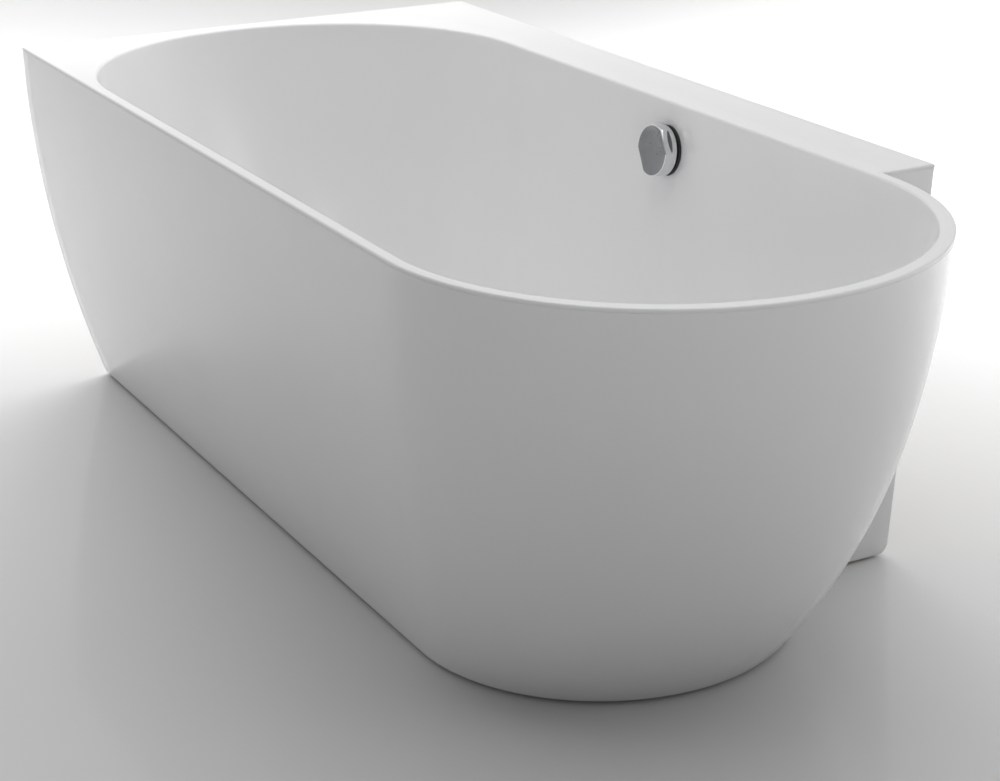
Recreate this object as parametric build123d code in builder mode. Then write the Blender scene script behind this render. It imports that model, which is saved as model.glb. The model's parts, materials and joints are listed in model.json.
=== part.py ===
from build123d import *
from math import atan, cos, pi, sin, sqrt, tan
import os

os.makedirs("parts", exist_ok=True)

# Driving dimensions, millimetres. X runs along the bath to its round end, Y to the back wall, Z up.
LENGTH = 1700
WIDTH = 800
HEIGHT = 580
LEFT = -LENGTH / 2
RIGHT = LENGTH / 2
FRONT = -WIDTH / 2
BACK = WIDTH / 2

# Plan of the tub
END_RADIUS = 357.5
TUB_Y = FRONT + END_RADIUS
DECK_END_TOP = 475
DECK_END_LEAN = 55
BULGE_SIDE = 98.5
BULGE_END = (72.3, 42.2, 114.4)

# Basin
RIM_RADIUS = 340
BASIN_LEFT = -819
BASIN_RIGHT = 829
BASIN_FLOOR = 130
BASIN_SIDE_INSET = 85
BASIN_END_INSET = 255
SLOPE_SHARE = 0.45
FLOOR_FILLET = 70
ACRYLIC = 5
GLASS_FIBRE = 3
RIM_EDGE = 3
OPENING_EDGE = 4
LIP_DEPTH = 40
BACK_LIP = 1290
SIDE_LIP = 768

# Skirt
SKIRT_BOTTOM = 4
SKIRT_WALL = 5
SKIRT_GLASS = 2.5
SKIRT_TOP = HEIGHT - ACRYLIC
BOND_DEPTH = 10
BOND_WIDTH = 12
RETURN_WIDTH = 20
FOOT_CORNER = 15

BOND_GAP = 0.5
BOND_CLEAR = 30
GLASS_SHORT = 5
GLASS_TOP = SKIRT_TOP - BOND_DEPTH - GLASS_SHORT
GLASS_EDGE = 3

# How far a cut runs past the face that it opens, and past the walls
CUT = 10
PAST_LEFT = LEFT - 5 * CUT
PAST_BACK = BACK + 5 * CUT

# Levels of the lofted sections
SKIRT_LEVELS = (590, 500, 400, 300, 200, 100, -10)
BASIN_LEVELS = (500, 420, 340, 260, 190)

# Cradle
BOARD_THICK = 15
BOARD_LENGTH = 940
BOARD_WIDTH = 350
BOARD_WINDOW = 150
BOARD_CORNER = 150
BAR = 30
BAR_WALL = 2
BAR_LENGTH = 400
BAR_X = (-400, -120, 400)
FOOT_SPREAD = 150
FOOT_Y = (TUB_Y - FOOT_SPREAD, TUB_Y + FOOT_SPREAD)
BOARD_SKIN = 4
BAR_SCREW_SPREAD = 80
BAR_SCREW_Y = (TUB_Y - BAR_SCREW_SPREAD, TUB_Y + BAR_SCREW_SPREAD)
STEM_RADIUS = 6
STEM_CHAMFER = 0.8
STEM_HOLE_GAP = 0.5
HEX_GAP = 2
THREAD_GAP = 0.05
PAD_RADIUS = 25
PAD_HEIGHT = 12
PAD_SOLE = 4
PAD_NECK = 11
STEM_HEX = 14
NUT_ACROSS_FLATS = 19
NUT_HEIGHT = 10
LOCK_NUT_HEIGHT = 6.5
STEM_TOP = 98

# Levels that follow from the stack under the floor
SHELL_UNDER = BASIN_FLOOR - ACRYLIC
GLASS_UNDER = SHELL_UNDER - GLASS_FIBRE
BOARD_UNDER = GLASS_UNDER - BOARD_THICK
BAR_UNDER = BOARD_UNDER - BAR
NUT_UNDER = BAR_UNDER - NUT_HEIGHT

# Base ring and brackets
RING_WIDTH = 40
RING_Z = 12
RING_THICK = 18
RING_TOP = RING_Z + RING_THICK
GLASS_LOW = RING_Z - 2
STRAP = 3
STRAP_LAP = 32
STRAP_UNDER = BAR_UNDER - STRAP
SCREW_RADIUS = 2.5
SCREW_HEAD = 4.5
SCREW_GRIP = 8
HEAD_HEIGHT = 2.5
PILOT_GAP = 0.03
PILOT_FLOOR = 3
STRAP_REACH = 297
END_STRAP_REACH = 628
END_SCREW_X = 612

# Battens and wall brackets
BATTEN_WIDTH = 30
SIDE_BATTEN_WIDTH = 16
SIDE_BATTEN_GAP = 8
BATTEN_GRIP = 20
BATTEN_PILOT = 21
WALL_SCREW_HOLE = 4
WALL_HOLE_DROP = 35
BRACKET_DROP = 60
BRACKET_SHELF = 38
BRACKET_HALF = 25
SIDE_BRACKET_HALF = 45
SIDE_HOLE_SPREAD = 30
REAR_SCREW_IN = 20
SIDE_SCREW_IN = 13

# Waste and overflow
WASTE_X = 5
WASTE_HOLE = 26
OVERFLOW_Z = 509
KNOB_RADIUS = 37.5
KNOB_FRONT = 28
KNOB_BACK = 8
KNOB_STEP = 16
KNOB_EDGE = 1
KNOB_FACE = 4
GRIP_SHARE = 0.863
GRIP_ANGLE = 34
SPINDLE_RADIUS = 5
SPINDLE_STOP = 6
HUB_GAP = 1
GRUB_LENGTH = 14
RUNNING_GAP = 0.05
HOSE_RADIUS = 16
HOSE_BORE = 13
RUN_SHARE = 0.45
CABLE_RADIUS = 3
OUTLET_RADIUS = 20
OUTLET_BORE = 18.2
OUTLET_Z = 31
PORT_Z = 88
LEVER_ARM = 16
ROSETTE_RADIUS = 37
ROSETTE_BACK = 0.6
ROSETTE_FRONT = 5
ROSETTE_HUB = 9
ROSETTE_SCREW = 2
ROSETTE_SCREW_PITCH = 17
ROSETTE_SCREW_HEAD = 2
ROSETTE_SCREW_LENGTH = 34
WATER_HOLE = 6
WATER_HOLE_PITCH = 19
KNOB_HOLLOW = 29
CRANK_BACK = -60
CRANK_ARM = 16
CRANK_WIDTH = 8
CRANK_THICK = 5
CABLE_OUT = CRANK_BACK + CRANK_THICK / 2
CABLE_WIRE = 1
CABLE_STOP = 30
STOP_WIDTH = 14
STOP_THICK = 4
STOP_BEYOND = 2
STOP_RIB = 24
SEAL_THICK = 3
HOUSING_FRONT = -11.2
HOUSING_BACK = -53
HOUSING_FLANGE = 36
HOUSING_LIP = 4
HOUSING_CUP = 25
HOUSING_WALL = 3
BOSS_WALL = 3.5
BOSS_SHORT = 8
SPIGOT_OUT = -32
SPIGOT_LENGTH = 60
HOSE_NUT = 20
JOINT_LAP = 12
FLANGE_RADIUS = 35
FLANGE_EDGE = 0.8
FLANGE_BORE = 20.5
FLANGE_THICK = 2.5
TOP_SEAL = 1
SLEEVE_RADIUS = 25.5
SLEEVE_END = 112
SPIDER = 3
STEM_R = 4
BODY_FLANGE = 38
BODY_FLANGE_THICK = 5
BODY_RADIUS = 30
BODY_FLOOR = 62
BODY_FLOOR_THICK = 4
BODY_WALL = 3
SPIGOT_END = 28
PORT_END = 60
GLAND_Z = 86
GLAND_END = 42
GLAND_GRIP = 8
LEVER_Z = 76
LEVER_HALF = 6
LEVER_THICK = 4
LUG_Y = 9.5
LUG_HALF = 1.5
LUG_WIDTH = (4, 5)
LUG_LOW = BODY_FLOOR + 2
LUG_HIGH = LEVER_Z + 5
PIN_RADIUS = 2
PIN_HALF = 12
HUB_RADIUS = 4.5
TIP_RADIUS = 2.5
LEVER_GAP = 0.4
PLUG_GAP = 0.3
PLUG_SEAL = 1.7
PLUG_SEAL_RADIUS = 24
CAP_RADIUS = 30
CAP_RIM = 2
CAP_CROWN = 3.5
CAP_BOSS = 4
TRAP_LOW = 8
TRAP_HIGH = 54
TRAP_RADIUS = 42
TRAP_WALL = 3
TRAP_SEAL = 2
NUT_LID = 2
NUT_WALL = 5
OUTLET_NUT_WALL = 4
OUTLET_NUT_GRIP = 14
COLLAR_RADIUS = 25
COLLAR_TOP = 58
PIPE_START = 43
PIPE_END = 385
BEAD_Y = 341
BEAD_RADIUS = 21.5
BEAD_WIDTH = 3
SOCKET_END = 75

# Points that the hose and the cable pass by, under the basin
HOSE_DROP = 160
HOSE_BENDS = ((262, 150), (205, 88))
CABLE_DROP = 150
CABLE_BENDS = ((40, 290, 180), (70, 215, 96), (100, 110, 88), (116, 20, 86), (92, TUB_Y, 86))


def drop(z):
    """Share of the way from the rim down to the floor."""
    return (HEIGHT - z) / HEIGHT


def side_inset(z):
    """How far the skirt's long side has drawn in at height z."""
    return BULGE_SIDE * drop(z) ** 2


def side_slope(z):
    """How fast the long side draws in for each millimetre down."""
    return 2 * BULGE_SIDE * drop(z) / HEIGHT


def end_inset(z):
    """How far the half-round end has drawn in at height z."""
    first, second, third = BULGE_END
    s = drop(z)
    return first * s + second * s**2 + third * s**3


def end_slope(z):
    """How fast the half-round end draws in for each millimetre down."""
    first, second, third = BULGE_END
    s = drop(z)
    return (first + 2 * second * s + 3 * third * s**2) / HEIGHT


def square_to(wall, slope):
    """Level distance that gives a wall's thickness across a slope."""
    return wall * sqrt(1 + slope**2)


def deck_end(z, wall=0):
    """X of the leaning return panel, moved in by a wall."""
    return DECK_END_TOP - DECK_END_LEAN * drop(z) - square_to(wall, DECK_END_LEAN / HEIGHT)


def basin_drop(z):
    """Share of the way from the rim down to the basin's floor."""
    return (HEIGHT - z) / (HEIGHT - BASIN_FLOOR)


def basin_inset(z):
    """Share of the basin's full inset that is reached at height z."""
    t = basin_drop(z)
    return SLOPE_SHARE * t + (1 - SLOPE_SHARE) * t**2


def basin_slope(z):
    """How fast that share grows for each millimetre down."""
    t = basin_drop(z)
    return (SLOPE_SHARE + 2 * (1 - SLOPE_SHARE) * t) / (HEIGHT - BASIN_FLOOR)


def basin_half_width(z, wall=0):
    """Half the basin's width at height z, grown by a wall."""
    thick = square_to(wall, BASIN_SIDE_INSET * basin_slope(z))
    return RIM_RADIUS - BASIN_SIDE_INSET * basin_inset(z) + thick


def skirt_section(z, wall, left):
    """Straight from the left wall, half round at the free end."""
    half = END_RADIUS - side_inset(z) - square_to(wall, side_slope(z))
    tip = RIGHT - end_inset(z) - square_to(wall, end_slope(z))
    centre = tip - half
    with BuildSketch() as section:
        with BuildLine():
            Polyline(
                (centre, TUB_Y + half),
                (left, TUB_Y + half),
                (left, TUB_Y - half),
                (centre, TUB_Y - half),
            )
            ThreePointArc((centre, TUB_Y - half), (tip, TUB_Y), (centre, TUB_Y + half))
        make_face()
    return section.sketch


def tub_block(wall, left, back):
    """Everything inside the skirt's outer face and the deck, moved in by a wall."""
    top, bottom = SKIRT_LEVELS[0], SKIRT_LEVELS[-1]
    with BuildPart() as block:
        for z in SKIRT_LEVELS:
            with BuildSketch(Plane.XY.offset(z)):
                add(skirt_section(z, wall, left))
        loft()
        with BuildSketch(Plane.XZ.offset(-back)):
            with BuildLine():
                Polyline(
                    (left, bottom),
                    (deck_end(bottom, wall), bottom),
                    (deck_end(top, wall), top),
                    (left, top),
                    close=True,
                )
            make_face()
        extrude(amount=back - TUB_Y)
    return block.part


def slab(block, low, high):
    """The part of a block between two levels."""
    with BuildPart() as cut:
        add(block)
        split(bisect_by=Plane.XY.offset(low), keep=Keep.TOP)
        split(bisect_by=Plane.XY.offset(high), keep=Keep.BOTTOM)
    return cut.part


def basin_section(z, wall):
    """The basin's plan at one height, a slot grown by a wall."""
    thick = square_to(wall, BASIN_END_INSET * basin_slope(z))
    inset = BASIN_END_INSET * basin_inset(z)
    low = BASIN_LEFT + inset - thick
    high = BASIN_RIGHT - inset + thick
    with Locations(((low + high) / 2, TUB_Y)):
        SlotOverall(high - low, 2 * basin_half_width(z, wall))


def basin_block(wall, top):
    """The basin's inside, grown by a wall, with its rounded foot."""
    with BuildPart() as block:
        for z in (top, *BASIN_LEVELS, BASIN_FLOOR - wall):
            with BuildSketch(Plane.XY.offset(z)):
                basin_section(z, wall)
        loft()
        fillet(block.faces().sort_by(Axis.Z)[0].edges(), FLOOR_FILLET + wall)
    return block.part


def box_between(low, high):
    """A plain block between two corners."""
    sizes = [b - a for a, b in zip(low, high)]
    with BuildPart() as block:
        with BuildSketch(Plane.XY.offset(low[2])):
            with Locations((low[0], low[1])):
                Rectangle(sizes[0], sizes[1], align=(Align.MIN, Align.MIN))
        extrude(amount=sizes[2])
    return block.part


def tube(plane, outer, bore, length):
    """A round tube that starts on a plane; a bore of 0 leaves it solid."""
    with BuildPart() as piece:
        with BuildSketch(plane):
            Circle(outer)
            if bore:
                Circle(bore, mode=Mode.SUBTRACT)
        extrude(amount=length)
    return piece.part


def level_tube(x, y, low, high, outer, bore=0):
    """An upright tube between two levels."""
    return tube(Plane(origin=(x, y, low)), outer, bore, high - low)


def hose(points, outer, bore):
    """A hose along straight runs joined by the largest arcs that the runs allow."""
    runs = [(b - a).length for a, b in zip(points, points[1:])]
    radii = []
    for i in range(1, len(points) - 1):
        turn = (points[i] - points[i - 1]).get_angle(points[i + 1] - points[i])
        radii.append(RUN_SHARE * min(runs[i - 1], runs[i]) / tan(turn * pi / 360))
    with BuildPart() as piece:
        with BuildLine() as route:
            FilletPolyline(*points, radius=radii)
        path = route.wire()
        with BuildSketch(Plane(origin=path @ 0, z_dir=path % 0)):
            Circle(outer)
            if bore:
                Circle(bore, mode=Mode.SUBTRACT)
        sweep(path=path)
    share = piece.part.volume / (pi * (outer**2 - bore**2) * path.length)
    print("length", round(path.length), "radii", [round(r) for r in radii], "fill", round(share, 4))
    return piece.part


def strap_outline(inner, bend, outer):
    """Z-shaped strap: under the bar, down to the base ring, out over the ring."""
    return (
        (inner, BAR_UNDER),
        (bend, BAR_UNDER),
        (bend, RING_TOP + STRAP),
        (outer, RING_TOP + STRAP),
        (outer, RING_TOP),
        (bend - STRAP, RING_TOP),
        (bend - STRAP, STRAP_UNDER),
        (inner, STRAP_UNDER),
    )


def finish(builder, label):
    """Label a finished piece and write it."""
    builder.part.label = label
    export_step(builder.part, f"parts/{label}.step")


# Blocks that several pieces share
outer_block = tub_block(0, LEFT, BACK)
skirt_hollow = tub_block(SKIRT_WALL, LEFT + SKIRT_WALL, BACK - SKIRT_WALL)
return_hollow = tub_block(SKIRT_WALL + RETURN_WIDTH, PAST_LEFT, PAST_BACK)
glass_hollow = tub_block(SKIRT_WALL + SKIRT_GLASS, PAST_LEFT, PAST_BACK)
ring_hollow = tub_block(SKIRT_WALL + SKIRT_GLASS + RING_WIDTH, PAST_LEFT, PAST_BACK)
basin_hollow = basin_block(0, HEIGHT + 2 * CUT)
basin_outside = basin_block(ACRYLIC, HEIGHT - ACRYLIC / 2)
glass_outside = basin_block(ACRYLIC + GLASS_FIBRE, HEIGHT - ACRYLIC / 2)

# The overflow stands square to the basin's rear wall
wall_tilt = atan(BASIN_SIDE_INSET * basin_slope(OVERFLOW_Z))
overflow_point = Vector(WASTE_X, TUB_Y + basin_half_width(OVERFLOW_Z), OVERFLOW_Z)
overflow_plane = Plane(
    origin=overflow_point,
    x_dir=(1, 0, 0),
    z_dir=(0, -cos(wall_tilt), sin(wall_tilt)),
)
DOWN = -overflow_plane.y_dir
WASTE = (WASTE_X, TUB_Y)


def on_wall(x, y, out):
    """Point given across, up and out from the rear wall at the overflow."""
    return overflow_plane.from_local_coords(Vector(x, y, out))


# Places of the screws that join the cradle to the base ring
BAR_FRONT = TUB_Y - BAR_LENGTH / 2
BRACKET_SCREW_Y = BAR_FRONT + 16
RING_SCREW_Y = -280
BAR_FIXINGS = [(x, BRACKET_SCREW_Y) for x in BAR_X] + [(BAR_X[2], TUB_Y)]
RING_FIXINGS = [(x, RING_SCREW_Y) for x in BAR_X] + [(END_SCREW_X, TUB_Y)]

# Holes for the waste and the overflow, drilled through shell and glass fibre together
waste_drilling = level_tube(*WASTE, SHELL_UNDER - CUT, BASIN_FLOOR + CUT, WASTE_HOLE)
overflow_drilling = tube(overflow_plane.offset(-2 * CUT), WASTE_HOLE, 0, 4 * CUT)

# Tub shell: rim and deck, basin, and the lips at the two walls
with BuildPart() as tub_shell:
    add(slab(outer_block, SKIRT_TOP, HEIGHT))
    top_edges = tub_shell.edges().group_by(Axis.Z)[-1]
    rim_edges = top_edges.filter_by(
        lambda e: e.center().X > LEFT + RIM_EDGE and e.center().Y < BACK - RIM_EDGE
    )
    fillet(rim_edges, RIM_EDGE)
    with BuildSketch(Plane.XY.offset(SKIRT_TOP - LIP_DEPTH)):
        with Locations((LEFT, BACK)):
            Rectangle(BACK_LIP, ACRYLIC, align=(Align.MIN, Align.MAX))
            Rectangle(ACRYLIC, SIDE_LIP, align=(Align.MIN, Align.MAX))
    extrude(amount=LIP_DEPTH)
    add(basin_outside)
    add(basin_hollow, mode=Mode.SUBTRACT)
    opening = (
        tub_shell.edges()
        .group_by(Axis.Z)[-1]
        .filter_by(lambda e: e.bounding_box().min.Y > FRONT + CUT)
        .filter_by(lambda e: abs(e.center().Y - TUB_Y) < RIM_RADIUS + 1)
        .filter_by(lambda e: BASIN_LEFT - 1 < e.center().X < BASIN_RIGHT + 1)
    )
    fillet(opening, OPENING_EDGE)
    add(waste_drilling, mode=Mode.SUBTRACT)
    add(overflow_drilling, mode=Mode.SUBTRACT)
finish(tub_shell, "tub_shell")

# Glass fibre and resin laid up on the back of the basin
with BuildPart() as fibreglass_backing:
    add(glass_outside)
    split(bisect_by=Plane.XY.offset(GLASS_TOP), keep=Keep.BOTTOM)
    add(basin_outside, mode=Mode.SUBTRACT)
    add(waste_drilling, mode=Mode.SUBTRACT)
    add(overflow_drilling, mode=Mode.SUBTRACT)
finish(fibreglass_backing, "fibreglass_backing")

# Outer skirt: one bent wall from the left wall round to the back wall, open at both walls
with BuildPart() as outer_skirt:
    add(slab(outer_block, SKIRT_BOTTOM, SKIRT_TOP))
    for hollow in (skirt_hollow, return_hollow):
        add(slab(hollow, SKIRT_BOTTOM - CUT, SKIRT_TOP - BOND_DEPTH), mode=Mode.SUBTRACT)
    with BuildSketch(Plane.XY.offset(SKIRT_TOP - BOND_DEPTH)):
        basin_section(HEIGHT, ACRYLIC + BOND_GAP)
        with Locations((PAST_LEFT, TUB_Y)):
            inner_length = DECK_END_TOP - BOND_WIDTH - PAST_LEFT
            Rectangle(inner_length, WIDTH, align=(Align.MIN, Align.MIN))
            end_length = LEFT + BOND_CLEAR - PAST_LEFT
            Rectangle(end_length, 2 * (RIM_RADIUS + ACRYLIC), align=(Align.MIN, Align.CENTER))
    extrude(amount=BOND_DEPTH + CUT, mode=Mode.SUBTRACT)
    # The panel's lower corner at the wall is rounded off
    corner_x = deck_end(SKIRT_BOTTOM) - RETURN_WIDTH - CUT
    round_y, round_z = BACK - FOOT_CORNER, SKIRT_BOTTOM + FOOT_CORNER
    with BuildSketch(Plane.YZ.offset(corner_x)):
        with BuildLine():
            Polyline(
                (round_y, SKIRT_BOTTOM),
                (round_y, SKIRT_BOTTOM - CUT),
                (BACK + CUT, SKIRT_BOTTOM - CUT),
                (BACK + CUT, round_z),
                (BACK, round_z),
            )
            RadiusArc((BACK, round_z), (round_y, SKIRT_BOTTOM), FOOT_CORNER)
        make_face()
    extrude(amount=RETURN_WIDTH + 3 * CUT, mode=Mode.SUBTRACT)
finish(outer_skirt, "outer_skirt")

# Glass fibre and resin on the inside of the skirt
with BuildPart() as skirt_fibreglass:
    add(slab(skirt_hollow, GLASS_LOW, GLASS_TOP))
    add(glass_hollow, mode=Mode.SUBTRACT)
    split(bisect_by=Plane.YZ.offset(LEFT + SKIRT_WALL + GLASS_EDGE), keep=Keep.TOP)
    split(bisect_by=Plane.XZ.offset(-(BACK - SKIRT_WALL - GLASS_EDGE)), keep=Keep.TOP)
finish(skirt_fibreglass, "skirt_fibreglass")

# Plywood ring bonded inside the skirt's lower edge
with BuildPart() as skirt_base_ring:
    add(slab(glass_hollow, RING_Z, RING_TOP))
    add(ring_hollow, mode=Mode.SUBTRACT)
    split(bisect_by=Plane.YZ.offset(LEFT + SKIRT_WALL + GLASS_EDGE), keep=Keep.TOP)
    split(bisect_by=Plane.XZ.offset(-(BACK - SKIRT_WALL - GLASS_EDGE)), keep=Keep.TOP)
    with BuildSketch(Plane.XY.offset(RING_Z + PILOT_FLOOR)):
        with Locations(*RING_FIXINGS):
            Circle(SCREW_RADIUS + PILOT_GAP)
    extrude(amount=RING_THICK, mode=Mode.SUBTRACT)
finish(skirt_base_ring, "skirt_base_ring")

# Base board, laminated under the basin floor, with a window round the waste
BOARD_CENTRE = ((BASIN_LEFT + BASIN_RIGHT) / 2, TUB_Y)
with BuildPart() as base_board:
    with BuildSketch(Plane.XY.offset(BOARD_UNDER)):
        with Locations(BOARD_CENTRE):
            RectangleRounded(BOARD_LENGTH, BOARD_WIDTH, BOARD_CORNER)
        with Locations(WASTE):
            RectangleRounded(BOARD_WINDOW, BOARD_WINDOW, BOARD_WINDOW / 8, mode=Mode.SUBTRACT)
    extrude(amount=BOARD_THICK)
    with BuildSketch(Plane.XY.offset(BOARD_UNDER)):
        with Locations(*[(x, y) for x in BAR_X for y in BAR_SCREW_Y]):
            Circle(SCREW_RADIUS + PILOT_GAP)
    extrude(amount=BOARD_THICK - BOARD_SKIN, mode=Mode.SUBTRACT)
finish(base_board, "base_board")

# Cradle bars: square tube across the bath, drilled for the feet and the screws
for side, bar_x in zip(("left", "middle", "right"), BAR_X):
    with BuildPart() as cradle_bar:
        with BuildSketch(Plane.XZ.offset(-(TUB_Y + BAR_LENGTH / 2))):
            with Locations((bar_x, BAR_UNDER + BAR / 2)):
                Rectangle(BAR, BAR)
                Rectangle(BAR - 2 * BAR_WALL, BAR - 2 * BAR_WALL, mode=Mode.SUBTRACT)
        extrude(amount=BAR_LENGTH)
        with BuildSketch(Plane.XY.offset(BAR_UNDER - CUT)):
            with Locations(*[(bar_x, y) for y in FOOT_Y]):
                Circle(STEM_RADIUS + STEM_HOLE_GAP)
            with Locations((bar_x, BRACKET_SCREW_Y), (bar_x, TUB_Y)):
                Circle(SCREW_RADIUS + PILOT_GAP)
        extrude(amount=BAR_WALL + 2 * CUT, mode=Mode.SUBTRACT)
        with BuildSketch(Plane.XY.offset(BAR_UNDER - CUT)):
            with Locations(*[(bar_x, y) for y in BAR_SCREW_Y]):
                Circle(SCREW_RADIUS + PILOT_GAP)
        extrude(amount=BAR + 2 * CUT, mode=Mode.SUBTRACT)
    finish(cradle_bar, f"cradle_bar_{side}")

# Screws up through the bars into the board
with BuildPart() as bar_screws:
    for x in BAR_X:
        for y in BAR_SCREW_Y:
            add(level_tube(x, y, BAR_UNDER - HEAD_HEIGHT, BAR_UNDER, SCREW_HEAD))
            add(level_tube(x, y, BAR_UNDER, GLASS_UNDER - BOARD_SKIN - 1, SCREW_RADIUS))
finish(bar_screws, "bar_screws")

# Levelling feet: a nut welded under the bar, a lock nut below it, a threaded stem and a pad
with BuildPart() as foot_weld_nuts:
    with BuildSketch(Plane.XY.offset(NUT_UNDER)):
        with Locations(*[(x, y) for x in BAR_X for y in FOOT_Y]):
            RegularPolygon(NUT_ACROSS_FLATS / 2, 6, major_radius=False)
            Circle(STEM_RADIUS + THREAD_GAP, mode=Mode.SUBTRACT)
    extrude(amount=NUT_HEIGHT)
finish(foot_weld_nuts, "foot_weld_nuts")

with BuildPart() as foot_lock_nuts:
    with BuildSketch(Plane.XY.offset(NUT_UNDER - LOCK_NUT_HEIGHT)):
        with Locations(*[(x, y) for x in BAR_X for y in FOOT_Y]):
            RegularPolygon(NUT_ACROSS_FLATS / 2, 6, major_radius=False)
            Circle(STEM_RADIUS + THREAD_GAP, mode=Mode.SUBTRACT)
    extrude(amount=LOCK_NUT_HEIGHT)
finish(foot_lock_nuts, "foot_lock_nuts")

for side, foot_x in zip(("left", "middle", "right"), BAR_X):
    for end, foot_y in zip(("front", "rear"), FOOT_Y):
        with BuildPart() as foot_stem:
            with BuildSketch(Plane.XY.offset(PAD_SOLE)):
                with Locations((foot_x, foot_y)):
                    Circle(STEM_RADIUS)
            extrude(amount=STEM_TOP - PAD_SOLE)
            chamfer(foot_stem.edges().filter_by(GeomType.CIRCLE), STEM_CHAMFER)
            with BuildSketch(Plane.XY.offset(PAD_HEIGHT + HEX_GAP)):
                with Locations((foot_x, foot_y)):
                    RegularPolygon(STEM_HEX / 2, 6, major_radius=False)
            extrude(amount=STEM_HEX / 2)
        finish(foot_stem, f"foot_stem_{side}_{end}")

        with BuildPart() as foot_pad:
            with BuildSketch(Plane(origin=(foot_x, foot_y, 0), x_dir=(1, 0, 0), z_dir=(0, -1, 0))):
                with BuildLine():
                    Polyline(
                        (0, 0),
                        (PAD_RADIUS, 0),
                        (PAD_RADIUS, PAD_SOLE),
                        (PAD_NECK, PAD_HEIGHT),
                        (STEM_RADIUS + THREAD_GAP, PAD_HEIGHT),
                        (STEM_RADIUS + THREAD_GAP, PAD_SOLE),
                        (0, PAD_SOLE),
                        close=True,
                    )
                make_face()
            revolve(axis=Axis((foot_x, foot_y, 0), (0, 0, 1)))
        finish(foot_pad, f"foot_pad_{side}_{end}")

# Brackets from the cradle bars out to the base ring, three to the front and one to the round end
for side, bar_x in zip(("left", "middle", "right"), BAR_X):
    with BuildPart() as skirt_bracket:
        with BuildSketch(Plane.YZ.offset(bar_x - BAR / 2)):
            outline = strap_outline(-(BAR_FRONT + STRAP_LAP), STRAP - BAR_FRONT, STRAP_REACH)
            with BuildLine():
                Polyline(*[(-d, z) for d, z in outline], close=True)
            make_face()
        extrude(amount=BAR)
        with BuildSketch(Plane.XY.offset(RING_TOP - CUT)):
            with Locations((bar_x, BRACKET_SCREW_Y), (bar_x, RING_SCREW_Y)):
                Circle(SCREW_RADIUS + PILOT_GAP)
        extrude(amount=BAR_UNDER, mode=Mode.SUBTRACT)
    finish(skirt_bracket, f"skirt_bracket_{side}")

END_STRAP_START = BAR_X[2] - BAR / 2
END_STRAP_BEND = BAR_X[2] + BAR / 2 + STRAP
with BuildPart() as skirt_bracket_end:
    with BuildSketch(Plane.XZ.offset(-(TUB_Y + BAR / 2))):
        with BuildLine():
            Polyline(*strap_outline(END_STRAP_START, END_STRAP_BEND, END_STRAP_REACH), close=True)
        make_face()
    extrude(amount=BAR)
    with BuildSketch(Plane.XY.offset(RING_TOP - CUT)):
        with Locations((BAR_X[2], TUB_Y), (END_SCREW_X, TUB_Y)):
            Circle(SCREW_RADIUS + PILOT_GAP)
    extrude(amount=BAR_UNDER, mode=Mode.SUBTRACT)
finish(skirt_bracket_end, "skirt_bracket_end")

# Screws at both ends of each bracket
with BuildPart() as skirt_bracket_screws:
    for x, y in BAR_FIXINGS:
        add(level_tube(x, y, STRAP_UNDER - HEAD_HEIGHT, STRAP_UNDER, SCREW_HEAD))
        add(level_tube(x, y, STRAP_UNDER, BAR_UNDER + SCREW_GRIP, SCREW_RADIUS))
    for x, y in RING_FIXINGS:
        add(level_tube(x, y, RING_TOP + STRAP, RING_TOP + STRAP + HEAD_HEIGHT, SCREW_HEAD))
        add(level_tube(x, y, RING_Z + PILOT_FLOOR, RING_TOP + STRAP, SCREW_RADIUS))
finish(skirt_bracket_screws, "skirt_bracket_screws")

# Battens under the deck, against the lips
BATTEN_Z = SKIRT_TOP - LIP_DEPTH
REAR_BATTEN_FRONT = BACK - ACRYLIC - BATTEN_WIDTH
SIDE_BATTEN_RIGHT = LEFT + ACRYLIC + SIDE_BATTEN_WIDTH
rear_low = (LEFT + ACRYLIC, REAR_BATTEN_FRONT, BATTEN_Z)
rear_high = (LEFT + BACK_LIP, BACK - ACRYLIC, SKIRT_TOP)
side_low = (LEFT + ACRYLIC, BACK - SIDE_LIP + SIDE_BATTEN_GAP, BATTEN_Z)
side_high = (SIDE_BATTEN_RIGHT, REAR_BATTEN_FRONT, SKIRT_TOP)
BACK_BRACKETS = {"rear_left": -600, "rear_right": 300}
SIDE_BRACKET_Y = 100
SIDE_HOLES = (SIDE_BRACKET_Y - SIDE_HOLE_SPREAD, SIDE_BRACKET_Y + SIDE_HOLE_SPREAD)
REAR_SCREW_Y = BACK - REAR_SCREW_IN
SIDE_SCREW_X = LEFT + SIDE_SCREW_IN


def batten_pilot(x, y):
    """The hole that a bracket's screw enters from below."""
    return level_tube(x, y, BATTEN_Z - CUT, BATTEN_Z + BATTEN_PILOT, SCREW_RADIUS + PILOT_GAP)


with BuildPart() as rear_batten:
    add(box_between(rear_low, rear_high))
    for x in BACK_BRACKETS.values():
        add(batten_pilot(x, REAR_SCREW_Y), mode=Mode.SUBTRACT)
finish(rear_batten, "rear_batten")

with BuildPart() as side_batten:
    add(box_between(side_low, side_high))
    for y in SIDE_HOLES:
        add(batten_pilot(SIDE_SCREW_X, y), mode=Mode.SUBTRACT)
finish(side_batten, "side_batten")

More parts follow.
